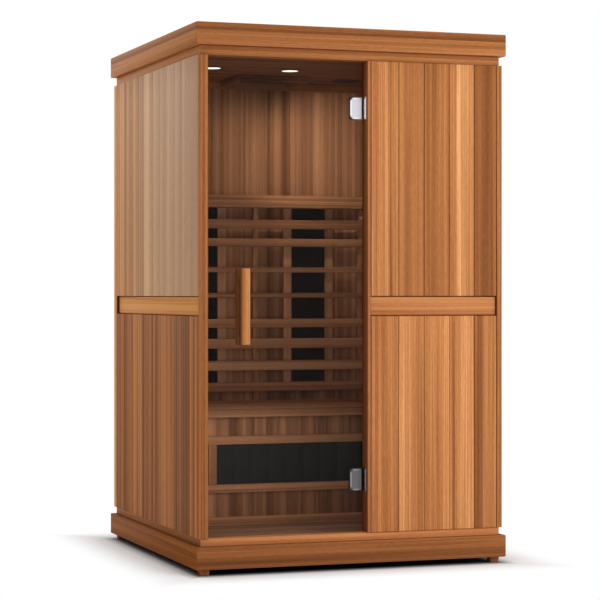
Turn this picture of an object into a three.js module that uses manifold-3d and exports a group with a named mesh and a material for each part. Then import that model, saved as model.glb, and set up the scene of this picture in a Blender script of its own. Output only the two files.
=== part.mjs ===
// Infrared sauna cabin: a cedar cabin on four feet, with a smoked glass door, a bench, a slatted backrest and heaters.
// Millimetres, +Z up. The cabin stands on z = 0, centred on the Z axis, and its door faces -Y.
// Every piece is made a little under its nominal size, so that neighbours keep a small assembly gap.

import * as THREE from 'three';
import { mergeVertices } from 'three/addons/utils/BufferGeometryUtils.js';
import Module from 'manifold-3d';

// Overall size, over the plinth and the cornice
const cabinWidth = 1160;
const cabinDepth = 1200;
const cabinHeight = 1900;
const ease = 0.15; // taken off each face of a piece

// Base
const footHeight = 22;
const footWidth = 36;
const footTaper = 3;
const footInset = 18;
const plinthHeight = 78;
const floorRimHeight = 27;
const deckDrop = 18.5; // deck below the top of the rim
const deckThickness = 38;

// Shell
const overhang = 11; // plinth and cornice beyond the wall faces
const bandRecess = 8; // rims behind the wall faces
const rimThickness = 33;
const wallThickness = 34;
const roofRimHeight = 33;
const roofThickness = 24;
const corniceHeight = 78;

// Cladding boards and the grooves between them
const boardPitch = 97;
const sideFirstBoard = 112;
const frontFirstBoard = 106;
const backFirstBoard = 92;
const benchFirstBoard = 50;
const grooveWidth = 3;
const grooveDepth = 2;
const narrowestBoard = 12;

// Belt rail, set back in a recess across a wall
const beltAboveWallFoot = 763;
const beltHeight = 70;
const beltRecess = 22;
const beltRailThickness = 12;
const beltRailGap = 2;
const beltFrontLand = 4;
const beltBackStile = 46;
const cornerStile = 21;

// Door
const doorOpening = 586;
const jambThickness = 12;
const jambBehindGlass = 5;
const glassSetback = 41; // front of the glass behind the wall face
const glassThickness = 8;
const doorGap = 2;
const stopWidth = 12;
const stopDepth = 12;

// Door handle: a wooden bar each side of the glass
const handleFromEdge = 136.5;
const handleAboveEdge = 662;
const handleLength = 265;
const handleThickness = 29;
const handleGap = 10;
const handleChamfer = 4;
const boltFromEnd = 45;
const boltRadius = 4;
const boltDepth = 18; // into each bar
const collarRadius = 8;

// Door hinges: a clamp round the glass, a wall plate with two arms, and a pin
const hingeFromTop = 164; // upper hinge's centre from the top of the glass
const hingeFromFoot = 183; // lower hinge's centre from the bottom of the glass
const clampHeight = 76;
const clampReach = 34; // from the pin to the clamp's free end
const clampTail = 9.5; // from the pin towards the jamb
const clampThickness = 5;
const clampChamfer = 11;
const clampGrip = 22; // glass held between the clamp's plates
const pinRadius = 3;
const plateThickness = 4;
const plateInset = 13; // behind the jamb's front edge
const armThickness = 2;
const armWidth = 12;
const swingClearance = 0.8;

// Bench
const benchAboveDeck = 430.5;
const benchThickness = 30;
const benchDepth = 618;
const nosingDepth = 30;
const benchPanelSetback = 20; // clad panel behind the nosing's front
const benchPanelThickness = 30;
const heaterRailHeight = 31;
const heaterRailThickness = 12;
const calfHeaterWidth = 680;
const calfHeaterHeight = 148;
const calfHeaterThickness = 7;
const calfTrimWidth = 32;
const calfHeaterAboveDeck = 152.5;
const skirtingHeight = 31.5;

// Backrest: slats from the bench up, as the gap under each slat and its height
const slatGaps = [38, 47, 48, 44, 84, 82, 83, 39];
const slatHeights = [37, 40, 40, 35, 20, 21, 32, 37];
const slatThickness = 20;
const ribThickness = 20;
const ribFromWall = 85; // centre of an outer rib from the side wall
const ribDepth = 40;
const ribHollow = 18; // how far the ribs are hollowed at mid height
const topRailAboveBench = 774;
const topRailHeight = 52;
const topRailDepth = 60;
const topRailSlope = 28;

// Back heaters
const backHeaterWidth = 144;
const backHeaterFromCentre = 156;
const backHeaterThickness = 10;
const heaterTrimWidth = 34;
const heaterTrimThickness = 18;
const heaterFrameAboveBench = 40;
const heaterSillHeight = 22;

// Ceiling fittings
const lightFromWall = 225; // centre of the left light from the side wall
const lightBehindCentre = 105;
const lightRingRadius = 47;
const lightLensRadius = 32;
const lightCanRadius = 38;
const lightCanHeight = 20;
const ringProud = 2.5;
const speakerFromWall = 200;
const speakerFromBack = 165; // centre of a speaker from the back wall
const speakerRadius = 59;
const speakerBasketRadius = 48;
const speakerBasketHeight = 36;
const fittingClearance = 0.3;
const lightBoxWidth = 290;
const lightBoxDepth = 250;
const lightBoxHeight = 27;
const lightBoxWall = 12;
const lightBoxTop = 5;
const lightBoxFromRim = 8;

// Controls and supply
const controlWidth = 150;
const controlHeight = 100;
const controlDepth = 12;
const controlBezel = 12;
const controlScreenDepth = 2;
const controlAboveDeck = 1190;
const controlFromJamb = 150;
const powerBoxWidth = 220;
const powerBoxDepth = 160;
const powerBoxHeight = 45;
const powerBoxFromEdge = 121; // back of the box from the back edge of the roof panel
const inletWidth = 30;
const inletHeight = 22;
const inletDepth = 18;

// Levels, from the ground up
const plinthTop = footHeight + plinthHeight;
const wallFoot = plinthTop + floorRimHeight;
const deckTop = wallFoot - deckDrop;
const roofFoot = cabinHeight - corniceHeight;
const wallTop = roofFoot - roofRimHeight;
const benchTop = deckTop + benchAboveDeck;
const topRailFoot = benchTop + topRailAboveBench;

// Half sizes in plan
const outerX = cabinWidth / 2;
const outerY = cabinDepth / 2;
const wallX = outerX - overhang;
const wallY = outerY - overhang;
const rimX = wallX - bandRecess;
const rimY = wallY - bandRecess;
const rimInnerX = rimX - rimThickness;
const rimInnerY = rimY - rimThickness;
const roomX = wallX - wallThickness;
const roomY = wallY - wallThickness;

// Door planes and hinge axis
const jambFace = -roomX + doorOpening;
const panelLeft = jambFace + jambThickness;
const glassFront = -wallY + glassSetback;
const glassBack = glassFront + glassThickness;
const pinY = (glassFront + glassBack) / 2;
const clampHalf = glassThickness / 2 + clampThickness;
const pinX = jambFace - plateThickness - Math.hypot(clampTail, clampHalf) - swingClearance;
const glassFoot = wallFoot + doorGap;
const glassTop = wallTop - doorGap;
const glassLeft = -roomX + doorGap;
const cornerSwing = jambFace - doorGap - pinX; // the glass's corner clears the jamb as it swings
const glassRight = pinX + Math.sqrt(cornerSwing ** 2 - (glassThickness / 2) ** 2);
const jambBack = glassBack + jambBehindGlass;

// Bench planes
const benchFront = roomY - benchDepth;
const benchPanelFront = benchFront + benchPanelSetback;

const wasm = await Module();
wasm.setup();

// Finishes, as seen in the photo
const finishes = {
  cedar: { color: '#b9733c', roughness: 0.62, metalness: 0 },
  paleCedar: { color: '#c98549', roughness: 0.6, metalness: 0 },
  redCedar: { color: '#9a5a30', roughness: 0.62, metalness: 0 },
  smokedGlass: { color: '#3b3029', roughness: 0.05, metalness: 0, transparent: true, opacity: 0.35 },
  steel: { color: '#c9cacc', roughness: 0.28, metalness: 1 },
  heaterBlack: { color: '#1b1b1c', roughness: 0.7, metalness: 0 },
  whitePlastic: { color: '#e6e2da', roughness: 0.4, metalness: 0 },
  greyPlastic: { color: '#5a5856', roughness: 0.6, metalness: 0 },
  blackPlastic: { color: '#151515', roughness: 0.35, metalness: 0 },
};

// One named piece with its own material
function addPiece(group, name, geometry, finish) {
  const mesh = new THREE.Mesh(geometry, new THREE.MeshStandardMaterial(finishes[finish]));
  mesh.name = name;
  group.add(mesh);
  return mesh;
}

// A nominal span, drawn in by the ease at both ends
function eased([low, high]) {
  return [low + ease, high - ease];
}

// A rectangular board between nominal spans
function board(x, y, z) {
  const spans = [x, y, z].map(eased);
  const size = spans.map(([low, high]) => high - low);
  const middle = spans.map(([low, high]) => (low + high) / 2);
  return new THREE.BoxGeometry(...size).translate(...middle);
}

// A flat outline through a list of [x, y] corners
function outline(corners) {
  return new THREE.Shape(corners.map(([x, y]) => new THREE.Vector2(x, y)));
}

function extrude(shape, depth, curveSegments = 32) {
  return new THREE.ExtrudeGeometry(shape, { depth, bevelEnabled: false, curveSegments });
}

// A plan outline in X and Y, carried up through a nominal span of Z
function alongZ(shape, z, curveSegments) {
  const [low, high] = eased(z);
  return extrude(shape, high - low, curveSegments).translate(0, 0, low);
}

// A side outline in Y and Z, carried along a nominal span of X
function alongX(shape, x) {
  const [low, high] = eased(x);
  const turn = new THREE.Matrix4().makeBasis(
    new THREE.Vector3(0, 1, 0),
    new THREE.Vector3(0, 0, 1),
    new THREE.Vector3(1, 0, 0),
  );
  return extrude(shape, high - low).applyMatrix4(turn).translate(low, 0, 0);
}

// A front outline in X and Z, carried along a nominal span of Y
function alongY(shape, y) {
  const [low, high] = eased(y);
  const turn = new THREE.Matrix4().makeBasis(
    new THREE.Vector3(1, 0, 0),
    new THREE.Vector3(0, 0, 1),
    new THREE.Vector3(0, -1, 0),
  );
  return extrude(shape, high - low).applyMatrix4(turn).translate(0, high, 0);
}

// A round piece about the vertical, from [radius, z] points
function turned(points, segments = 32) {
  return new THREE.LatheGeometry(points.map(([r, z]) => new THREE.Vector2(r, z)), segments).rotateX(Math.PI / 2);
}

function circleHole(x, y, radius) {
  const hole = new THREE.Path();
  hole.absarc(x, y, radius, 0, 2 * Math.PI, true);
  return hole;
}

// Joins and cuts of closed geometries
function toSolid(geometry) {
  const bare = geometry.clone();
  bare.deleteAttribute('normal');
  bare.deleteAttribute('uv');
  const merged = mergeVertices(bare, 1e-4);
  const mesh = new wasm.Mesh({
    numProp: 3,
    vertProperties: new Float32Array(merged.attributes.position.array),
    triVerts: new Uint32Array(merged.index.array),
  });
  return new wasm.Manifold(mesh);
}

function toGeometry(solid) {
  const mesh = solid.getMesh();
  const geometry = new THREE.BufferGeometry();
  geometry.setAttribute('position', new THREE.BufferAttribute(mesh.vertProperties, 3));
  geometry.setIndex(new THREE.BufferAttribute(mesh.triVerts, 1));
  const faceted = geometry.toNonIndexed();
  faceted.computeVertexNormals();
  return faceted;
}

function cut(body, ...tools) {
  return toGeometry(tools.reduce((solid, tool) => solid.subtract(toSolid(tool)), toSolid(body)));
}

function join(body, ...others) {
  return toGeometry(others.reduce((solid, other) => solid.add(toSolid(other)), toSolid(body)));
}

function common(body, other) {
  return toGeometry(toSolid(body).intersect(toSolid(other)));
}

// Distances of the grooves from one end of a clad panel
function grooveStations(length, firstBoard) {
  const stations = [];
  for (let at = firstBoard; at < length - narrowestBoard; at += boardPitch) {
    stations.push(at);
  }
  return stations;
}

// Plan outline of a clad panel, with V grooves on both faces. place(along, across) gives the plan point.
function cladOutline(length, thickness, firstBoard, place) {
  const stations = grooveStations(length, firstBoard);
  const half = grooveWidth / 2;
  const near = [];
  const far = [];
  for (const at of stations) {
    near.push(place(at - half, 0), place(at, grooveDepth), place(at + half, 0));
    far.push(place(at - half, thickness), place(at, thickness - grooveDepth), place(at + half, thickness));
  }
  return outline([
    place(0, 0),
    ...near,
    place(length, 0),
    place(length, thickness),
    ...far.reverse(),
    place(0, thickness),
  ]);
}

// A rectangular ring in plan
function ringOutline(halfX, halfY, innerX, innerY) {
  const ring = outline([[-halfX, -halfY], [halfX, -halfY], [halfX, halfY], [-halfX, halfY]]);
  ring.holes.push(outline([[-innerX, -innerY], [-innerX, innerY], [innerX, innerY], [innerX, -innerY]]));
  return ring;
}

// Feet, plinth and floor
function makeBase() {
  const base = new THREE.Group();
  const top = footWidth / 2 - ease;
  const taperRatio = (top - footTaper) / top;
  const footX = outerX - footInset - footWidth / 2;
  const footY = outerY - footInset - footWidth / 2;
  for (const [end, y] of [['front', -footY], ['back', footY]]) {
    for (const [side, x] of [['left', -footX], ['right', footX]]) {
      const height = footHeight - 2 * ease;
      // Four-sided lathe, turned so that its faces look along X and Y
      const corner = Math.SQRT2 * top;
      const foot = turned([[0, 0], [corner * taperRatio, 0], [corner, footTaper], [corner, height], [0, height]], 4);
      foot.rotateZ(Math.PI / 4).translate(x, y, ease);
      addPiece(base, `foot_${end}_${side}`, foot, 'redCedar');
    }
  }
  const plinth = ringOutline(outerX - ease, outerY - ease, rimInnerX + ease, rimInnerY + ease);
  addPiece(base, 'plinth_frame', alongZ(plinth, [footHeight, plinthTop]), 'redCedar');
  const rim = ringOutline(rimX - ease, rimY - ease, rimInnerX + ease, rimInnerY + ease);
  addPiece(base, 'floor_rim', alongZ(rim, [plinthTop, wallFoot]), 'cedar');
  const deck = board([-rimInnerX, rimInnerX], [-rimInnerY, rimInnerY], [deckTop - deckThickness, deckTop]);
  addPiece(base, 'floor_panel', deck, 'cedar');
  return base;
}

// Walls with their belt rails, and the door jamb
function makeShell() {
  const shell = new THREE.Group();
  const height = [wallFoot, wallTop];
  const beltFoot = wallFoot + beltAboveWallFoot;
  const belt = [beltFoot - ease, beltFoot + beltHeight + ease];
  const railHeight = [beltFoot + beltRailGap, beltFoot + beltHeight - beltRailGap];
  const wide = wallThickness - 2 * ease;

  for (const [side, sign, front] of [['left', -1, -wallY], ['right', 1, -roomY]]) {
    const length = wallY - front - 2 * ease;
    // The first board is counted from the cabin's front face on both sides
    const firstBoard = sideFirstBoard - (front + wallY);
    const plan = cladOutline(length, wide, firstBoard, (along, across) => [
      sign * (wallX - ease - across),
      front + ease + along,
    ]);
    const beltSpan = [front + beltFrontLand, wallY - beltBackStile];
    const recessX = [sign * (wallX + grooveDepth), sign * (wallX - beltRecess)].sort((a, b) => a - b);
    const recess = board(recessX, beltSpan, belt);
    addPiece(shell, `${side}_wall`, cut(alongZ(plan, height), recess), 'cedar');
    const railX = [sign * (wallX - beltRecess + beltRailThickness), sign * (wallX - beltRecess)];
    const rail = board(railX.sort((a, b) => a - b), beltSpan, railHeight);
    addPiece(shell, `${side}_belt_rail`, rail, 'paleCedar');
  }

  const backPlan = cladOutline(2 * (roomX - ease), wide, backFirstBoard, (along, across) => [
    -roomX + ease + along,
    wallY - ease - across,
  ]);
  addPiece(shell, 'back_wall', alongZ(backPlan, height), 'cedar');

  const panelPlan = cladOutline(wallX - panelLeft - 2 * ease, wide, frontFirstBoard, (along, across) => [
    panelLeft + ease + along,
    -wallY + ease + across,
  ]);
  const beltSpan = [panelLeft, wallX - cornerStile];
  const recess = board([panelLeft - grooveDepth, beltSpan[1]], [-wallY - grooveDepth, -wallY + beltRecess], belt);
  addPiece(shell, 'front_panel', cut(alongZ(panelPlan, height), recess), 'paleCedar');
  const railY = [-wallY + beltRecess - beltRailThickness, -wallY + beltRecess];
  addPiece(shell, 'front_belt_rail', board(beltSpan, railY, railHeight), 'paleCedar');

  addPiece(shell, 'door_jamb', board([jambFace, panelLeft], [-wallY, jambBack], height), 'cedar');
  const stopY = [glassBack, glassBack + stopDepth];
  addPiece(shell, 'door_stop', board([-roomX, -roomX + stopWidth], stopY, height), 'cedar');
  return shell;
}

// A lamp or speaker set in a hole of the ceiling: a flange below it and a round body above it
function ceilingFitting(flange, recessRadius, body, bodyHeight) {
  const face = roofFoot - fittingClearance;
  return turned([
    [0, roofFoot + 1],
    [recessRadius, roofFoot + 1],
    [recessRadius + 1.5, face - ringProud],
    [flange - ringProud, face - ringProud],
    [flange, face],
    [body, face],
    [body, roofFoot + bodyHeight],
    [0, roofFoot + bodyHeight],
  ]);
}

// Roof panel, its rim and cornice, and the fittings of the ceiling
function makeRoof() {
  const roof = new THREE.Group();
  const rim = ringOutline(rimX - ease, rimY - ease, rimInnerX + ease, rimInnerY + ease);
  addPiece(roof, 'roof_rim', alongZ(rim, [wallTop, roofFoot]), 'paleCedar');
  const cornice = ringOutline(outerX - ease, outerY - ease, rimX + ease, rimY + ease);
  addPiece(roof, 'cornice_frame', alongZ(cornice, [roofFoot, cabinHeight]), 'cedar');

  const edge = [rimX - ease, rimY - ease];
  const panel = outline([[-edge[0], -edge[1]], [edge[0], -edge[1]], [edge[0], edge[1]], [-edge[0], edge[1]]]);
  const lightX = roomX - lightFromWall;
  const lights = [['left', -lightX], ['centre', 0]];
  for (const [side, x] of lights) {
    panel.holes.push(circleHole(x, lightBehindCentre, lightCanRadius + fittingClearance));
    const light = ceilingFitting(lightRingRadius, lightLensRadius, lightCanRadius, lightCanHeight);
    addPiece(roof, `downlight_${side}`, light.translate(x, lightBehindCentre, 0), 'whitePlastic');
  }
  const speakerX = roomX - speakerFromWall;
  const speakerY = roomY - speakerFromBack;
  for (const [side, x] of [['left', -speakerX], ['right', speakerX]]) {
    panel.holes.push(circleHole(x, speakerY, speakerBasketRadius + fittingClearance));
    const recess = speakerRadius - 2 * ringProud - 1.5;
    const speaker = ceilingFitting(speakerRadius, recess, speakerBasketRadius, speakerBasketHeight);
    addPiece(roof, `speaker_${side}`, speaker.translate(x, speakerY, 0), 'greyPlastic');
  }
  addPiece(roof, 'roof_panel', alongZ(panel, [roofFoot, roofFoot + roofThickness], 16), 'cedar');

  const back = rimInnerY - lightBoxFromRim;
  const boxX = [-lightBoxWidth / 2, lightBoxWidth / 2];
  const boxY = [back - lightBoxDepth, back];
  const shellBox = board(boxX, boxY, [roofFoot - lightBoxHeight, roofFoot]);
  const hollow = board(
    [boxX[0] + lightBoxWall, boxX[1] - lightBoxWall],
    [boxY[0] + lightBoxWall, boxY[1] - lightBoxWall],
    [roofFoot - lightBoxHeight - lightBoxTop, roofFoot - lightBoxTop],
  );
  addPiece(roof, 'ceiling_light_box', cut(shellBox, hollow), 'cedar');
  return roof;
}

// Power box on the roof, with its mains inlet, and the control panel beside the door
function makeElectrics() {
  const electrics = new THREE.Group();
  const roofTop = roofFoot + roofThickness;
  const boxX = [-powerBoxWidth / 2, powerBoxWidth / 2];
  const boxBack = rimY - powerBoxFromEdge;
  const boxY = [boxBack - powerBoxDepth, boxBack];
  const casing = board(boxX, boxY, [roofTop, roofTop + powerBoxHeight]);
  const inletFoot = roofTop + (powerBoxHeight - inletHeight) / 2;
  const inlet = board(
    [-inletWidth / 2, inletWidth / 2],
    [boxY[1] - inletDepth, boxY[1] + inletDepth],
    [inletFoot, inletFoot + inletHeight],
  );
  addPiece(electrics, 'power_box', cut(casing, inlet), 'blackPlastic');

  const left = panelLeft + controlFromJamb;
  const foot = deckTop + controlAboveDeck;
  const back = -roomY + controlDepth;
  const body = board([left, left + controlWidth], [-roomY, back], [foot, foot + controlHeight]);
  const screen = board(
    [left + controlBezel, left + controlWidth - controlBezel],
    [back - controlScreenDepth, back + controlDepth],
    [foot + controlBezel, foot + controlHeight - controlBezel],
  );
  addPiece(electrics, 'control_panel', cut(body, screen), 'blackPlastic');
  return electrics;
}

// Heights of the two hinges' centres
const hingeHeights = [['upper', glassTop - hingeFromTop], ['lower', glassFoot + hingeFromFoot]];
const hingeHalf = clampHeight / 2 + armThickness;

// A bar handle with chamfered long edges, between nominal spans
function handleBar(x, y, z) {
  const [left, right] = eased(x);
  const [front, back] = eased(y);
  const c = handleChamfer;
  return alongZ(outline([
    [left + c, front], [right - c, front], [right, front + c], [right, back - c],
    [right - c, back], [left + c, back], [left, back - c], [left, front + c],
  ]), z);
}

// The door's moving pieces, in a group whose origin is on the hinge axis
function makeDoor() {
  const door = new THREE.Group();
  door.position.set(pinX, pinY, 0);
  const halfGlass = glassThickness / 2;
  const left = glassLeft - pinX;
  const right = glassRight - pinX;
  const notchLeft = clampGrip - clampReach;

  // Glass sheet with a notch for each hinge and a hole for each handle bolt
  const corners = [[left, glassFoot], [right, glassFoot]];
  for (const [, centre] of [...hingeHeights].reverse()) {
    const low = centre - hingeHalf - doorGap;
    const high = centre + hingeHalf + doorGap;
    corners.push([right, low], [notchLeft, low], [notchLeft, high], [right, high]);
  }
  corners.push([right, glassTop], [left, glassTop]);
  const sheet = outline(corners);
  const handleX = left + handleFromEdge;
  const handleFoot = glassFoot + handleAboveEdge;
  const boltHeights = [
    ['upper', handleFoot + handleLength - boltFromEnd],
    ['lower', handleFoot + boltFromEnd],
  ];
  for (const [, z] of boltHeights) {
    sheet.holes.push(circleHole(handleX, z, boltRadius + fittingClearance));
  }
  addPiece(door, 'door_glass', alongY(sheet, [-halfGlass, halfGlass]), 'smokedGlass');

  // Bars on both sides, each with two blind holes for the bolts
  const barX = [handleX - handleThickness / 2, handleX + handleThickness / 2];
  const barZ = [handleFoot, handleFoot + handleLength];
  const barFace = halfGlass + handleGap;
  const tip = barFace + boltDepth;
  for (const [side, sign] of [['outer', -1], ['inner', 1]]) {
    const barY = [sign * barFace, sign * (barFace + handleThickness)].sort((a, b) => a - b);
    const holeY = [sign * (barFace - handleGap / 2), sign * (tip + 2 * ease + fittingClearance)];
    const holes = boltHeights.map(([, z]) => {
      const round = new THREE.Shape();
      round.absarc(handleX, z, boltRadius + fittingClearance, 0, 2 * Math.PI);
      return alongY(round, holeY.sort((a, b) => a - b));
    });
    addPiece(door, `door_handle_${side}`, cut(handleBar(barX, barY, barZ), ...holes), 'paleCedar');
  }

  // Bolts: a rod through the glass, with a collar that fills the gap on each side
  for (const [level, z] of boltHeights) {
    const collarIn = halfGlass + ease;
    const collarOut = barFace - ease;
    const bolt = turned([
      [0, -tip], [boltRadius, -tip], [boltRadius, -collarOut], [collarRadius, -collarOut],
      [collarRadius, -collarIn], [boltRadius, -collarIn], [boltRadius, collarIn], [collarRadius, collarIn],
      [collarRadius, collarOut], [boltRadius, collarOut], [boltRadius, tip], [0, tip],
    ], 24);
    addPiece(door, `handle_bolt_${level}`, bolt.rotateX(Math.PI / 2).translate(handleX, 0, z), 'steel');
  }

  // Hinge clamps: two plates round the glass and a core block round the pin, with the free corners cut off
  for (const [level, centre] of hingeHeights) {
    const z = [centre - clampHeight / 2, centre + clampHeight / 2];
    const inner = halfGlass + ease;
    const core = notchLeft + 2 * ease;
    const plan = outline([
      [-clampReach, -clampHalf], [clampTail, -clampHalf], [clampTail, clampHalf], [-clampReach, clampHalf],
      [-clampReach, inner], [core, inner], [core, -inner], [-clampReach, -inner],
    ]);
    plan.holes.push(circleHole(0, 0, pinRadius + fittingClearance));
    const face = outline([
      [-clampReach, z[0] + clampChamfer], [clampChamfer - clampReach, z[0]], [clampTail + 1, z[0]],
      [clampTail + 1, z[1]], [clampChamfer - clampReach, z[1]], [-clampReach, z[1] - clampChamfer],
    ]);
    const clamp = common(alongZ(plan, z, 12), alongY(face, [-2 * clampHalf, 2 * clampHalf]));
    addPiece(door, `hinge_clamp_${level}`, clamp, 'steel');
    const pin = turned([
      [0, z[0] - armThickness],
      [pinRadius, z[0] - armThickness],
      [pinRadius, z[1] + armThickness],
      [0, z[1] + armThickness],
    ], 24);
    addPiece(door, `hinge_pin_${level}`, pin, 'steel');
  }
  return door;
}

// Hinge plates on the jamb: each has an arm above and below the clamp, which hold the pin
function makeHingePlates() {
  const plates = new THREE.Group();
  for (const [level, centre] of hingeHeights) {
    const low = centre - hingeHalf;
    const high = centre + hingeHalf;
    const plate = board([jambFace - plateThickness, jambFace], [-wallY + plateInset, jambBack], [low, high]);
    const armX = [pinX - armWidth / 2, jambFace - plateThickness / 2];
    const armY = [pinY - armWidth / 2, pinY + armWidth / 2];
    const arms = [
      board(armX, armY, [low, low + armThickness]),
      board(armX, armY, [high - armThickness, high]),
    ];
    const holeRadius = pinRadius + fittingClearance;
    const hole = new THREE.CylinderGeometry(holeRadius, holeRadius, 4 * hingeHalf, 24);
    hole.rotateX(Math.PI / 2).translate(pinX, pinY, centre);
    addPiece(plates, `hinge_plate_${level}`, cut(join(plate, ...arms), hole), 'steel');
  }
  return plates;
}

// Bench with its clad front and the calf heater
function makeBench() {
  const bench = new THREE.Group();
  const underside = benchTop - benchThickness;
  const thickness = [underside, benchTop];
  const full = [-roomX, roomX];
  addPiece(bench, 'bench_nosing', board(full, [benchFront, benchFront + nosingDepth], thickness), 'paleCedar');
  addPiece(bench, 'bench_top', board(full, [benchFront + nosingDepth, roomY], thickness), 'cedar');

  const wide = benchPanelThickness - 2 * ease;
  const plan = cladOutline(2 * (roomX - ease), wide, benchFirstBoard, (along, across) => [
    -roomX + ease + along,
    benchPanelFront + ease + across,
  ]);
  addPiece(bench, 'bench_front_panel', alongZ(plan, [wallFoot, underside]), 'cedar');

  const railY = [benchPanelFront - heaterRailThickness, benchPanelFront];
  const low = deckTop + calfHeaterAboveDeck;
  const high = low + calfHeaterHeight;
  const half = calfHeaterWidth / 2;
  const outerHalf = half + calfTrimWidth;
  const lowRail = board(full, railY, [low - heaterRailHeight, low]);
  const highRail = board(full, railY, [high, high + heaterRailHeight]);
  // The trims run into the rails by the ease, so that the frame is one glued piece
  const trimZ = [low - 2 * ease, high + 2 * ease];
  const trims = [board([-outerHalf, -half], railY, trimZ), board([half, outerHalf], railY, trimZ)];
  addPiece(bench, 'calf_heater_frame', join(lowRail, highRail, ...trims), 'cedar');
  const heaterY = [benchPanelFront - calfHeaterThickness, benchPanelFront];
  addPiece(bench, 'calf_heater', board([-half, half], heaterY, [low, high]), 'heaterBlack');
  const skirting = board([-rimInnerX, rimInnerX], railY, [deckTop, deckTop + skirtingHeight]);
  addPiece(bench, 'bench_skirting', skirting, 'cedar');
  return bench;
}

// Depth of the ribs at a height above the bench: full at both ends, hollowed at mid height
function ribDepthAt(above) {
  const middle = topRailAboveBench / 2;
  const away = (above - middle) / middle;
  return ribDepth - ribHollow * (1 - away * away);
}

// Slatted backrest on three ribs
function makeBackrest() {
  const backrest = new THREE.Group();
  const ribEdge = [];
  let above = 0;
  slatHeights.forEach((height, index) => {
    above += slatGaps[index];
    const face = roomY - ribDepthAt(above + height / 2);
    const foot = benchTop + above;
    ribEdge.push([face + ease, foot], [face + ease, foot + height]);
    const slat = board([-roomX, roomX], [face - slatThickness, face], [foot, foot + height]);
    // Slats are numbered from the top down
    addPiece(backrest, `backrest_slat_${slatHeights.length - index}`, slat, 'cedar');
    above += height;
  });
  const back = roomY - ease;
  const rib = outline([
    [back, benchTop + ease],
    [ribEdge[0][0], benchTop + ease],
    ...ribEdge,
    [ribEdge.at(-1)[0], topRailFoot - ease],
    [back, topRailFoot - ease],
  ]);
  const ribSideX = roomX - ribFromWall;
  for (const [side, x] of [['left', -ribSideX], ['centre', 0], ['right', ribSideX]]) {
    const ribX = [x - ribThickness / 2, x + ribThickness / 2];
    addPiece(backrest, `backrest_rib_${side}`, alongX(rib, ribX), 'cedar');
  }
  const railFront = roomY - topRailDepth;
  const railTop = topRailFoot + topRailHeight;
  const rail = outline([
    [back, topRailFoot + ease],
    [back, railTop - ease],
    [railFront + topRailSlope, railTop - ease],
    [railFront, railTop - topRailSlope],
    [railFront, topRailFoot + ease],
  ]);
  addPiece(backrest, 'backrest_top_rail', alongX(rail, [-roomX, roomX]), 'paleCedar');
  return backrest;
}

// Black heaters on the back wall, each in a frame that is open under the top rail
function makeBackHeaters() {
  const heaters = new THREE.Group();
  const foot = benchTop + heaterFrameAboveBench;
  const sill = foot + heaterSillHeight;
  const frameY = [roomY - heaterTrimThickness, roomY];
  for (const [side, sign] of [['left', -1], ['right', 1]]) {
    const across = (near, far) => [sign * near, sign * far].sort((a, b) => a - b);
    const near = backHeaterFromCentre;
    const far = near + backHeaterWidth;
    const bottom = board(across(near - heaterTrimWidth, far + heaterTrimWidth), frameY, [foot, sill]);
    const trimZ = [sill - 2 * ease, topRailFoot];
    const innerTrim = board(across(near - heaterTrimWidth, near), frameY, trimZ);
    const outerTrim = board(across(far, far + heaterTrimWidth), frameY, trimZ);
    addPiece(heaters, `heater_frame_${side}`, join(bottom, innerTrim, outerTrim), 'cedar');
    const panel = board(across(near, far), [roomY - backHeaterThickness, roomY], [sill, topRailFoot]);
    addPiece(heaters, `back_heater_${side}`, panel, 'heaterBlack');
  }
  return heaters;
}

const cabin = new THREE.Group();
cabin.add(makeBase(), makeShell(), makeRoof(), makeElectrics(), makeDoor(), makeHingePlates());
cabin.add(makeBench(), makeBackrest(), makeBackHeaters());
cabin.position.z = -ease; // the feet stand on z = 0

export default cabin;
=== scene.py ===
"""Looks of an infrared sauna cabin: cedar boards, smoked glass, steel hinges and black heaters.

Metres, +Z up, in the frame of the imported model. The door faces -Y.
"""

import itertools
import math
import random
from contextlib import contextmanager

import bmesh
import bpy
from mathutils import Matrix, Vector


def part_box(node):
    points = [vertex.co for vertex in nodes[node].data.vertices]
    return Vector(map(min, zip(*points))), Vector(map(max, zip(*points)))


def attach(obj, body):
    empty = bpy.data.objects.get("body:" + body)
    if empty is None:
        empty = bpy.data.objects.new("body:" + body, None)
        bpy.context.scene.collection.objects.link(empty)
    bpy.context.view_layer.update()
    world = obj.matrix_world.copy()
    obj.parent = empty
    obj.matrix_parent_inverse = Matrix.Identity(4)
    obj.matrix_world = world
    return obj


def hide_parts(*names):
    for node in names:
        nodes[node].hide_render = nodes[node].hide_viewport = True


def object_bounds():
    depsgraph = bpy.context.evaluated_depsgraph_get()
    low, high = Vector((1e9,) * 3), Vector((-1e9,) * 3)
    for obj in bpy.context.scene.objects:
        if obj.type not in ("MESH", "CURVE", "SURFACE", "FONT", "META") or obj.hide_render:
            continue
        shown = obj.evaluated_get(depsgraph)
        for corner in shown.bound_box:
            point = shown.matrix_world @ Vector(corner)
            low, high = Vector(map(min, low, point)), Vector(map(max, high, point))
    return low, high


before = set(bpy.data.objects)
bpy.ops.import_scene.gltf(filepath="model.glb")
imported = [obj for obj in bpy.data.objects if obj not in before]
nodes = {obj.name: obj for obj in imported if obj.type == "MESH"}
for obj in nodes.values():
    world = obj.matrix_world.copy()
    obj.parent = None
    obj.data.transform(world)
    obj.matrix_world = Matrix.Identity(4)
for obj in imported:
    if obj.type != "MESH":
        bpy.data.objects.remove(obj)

cad_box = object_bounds()

# Directions, as axis numbers
X, Y, Z = 0, 1, 2
UNIT = (Vector((1, 0, 0)), Vector((0, 1, 0)), Vector((0, 0, 1)))

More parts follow.
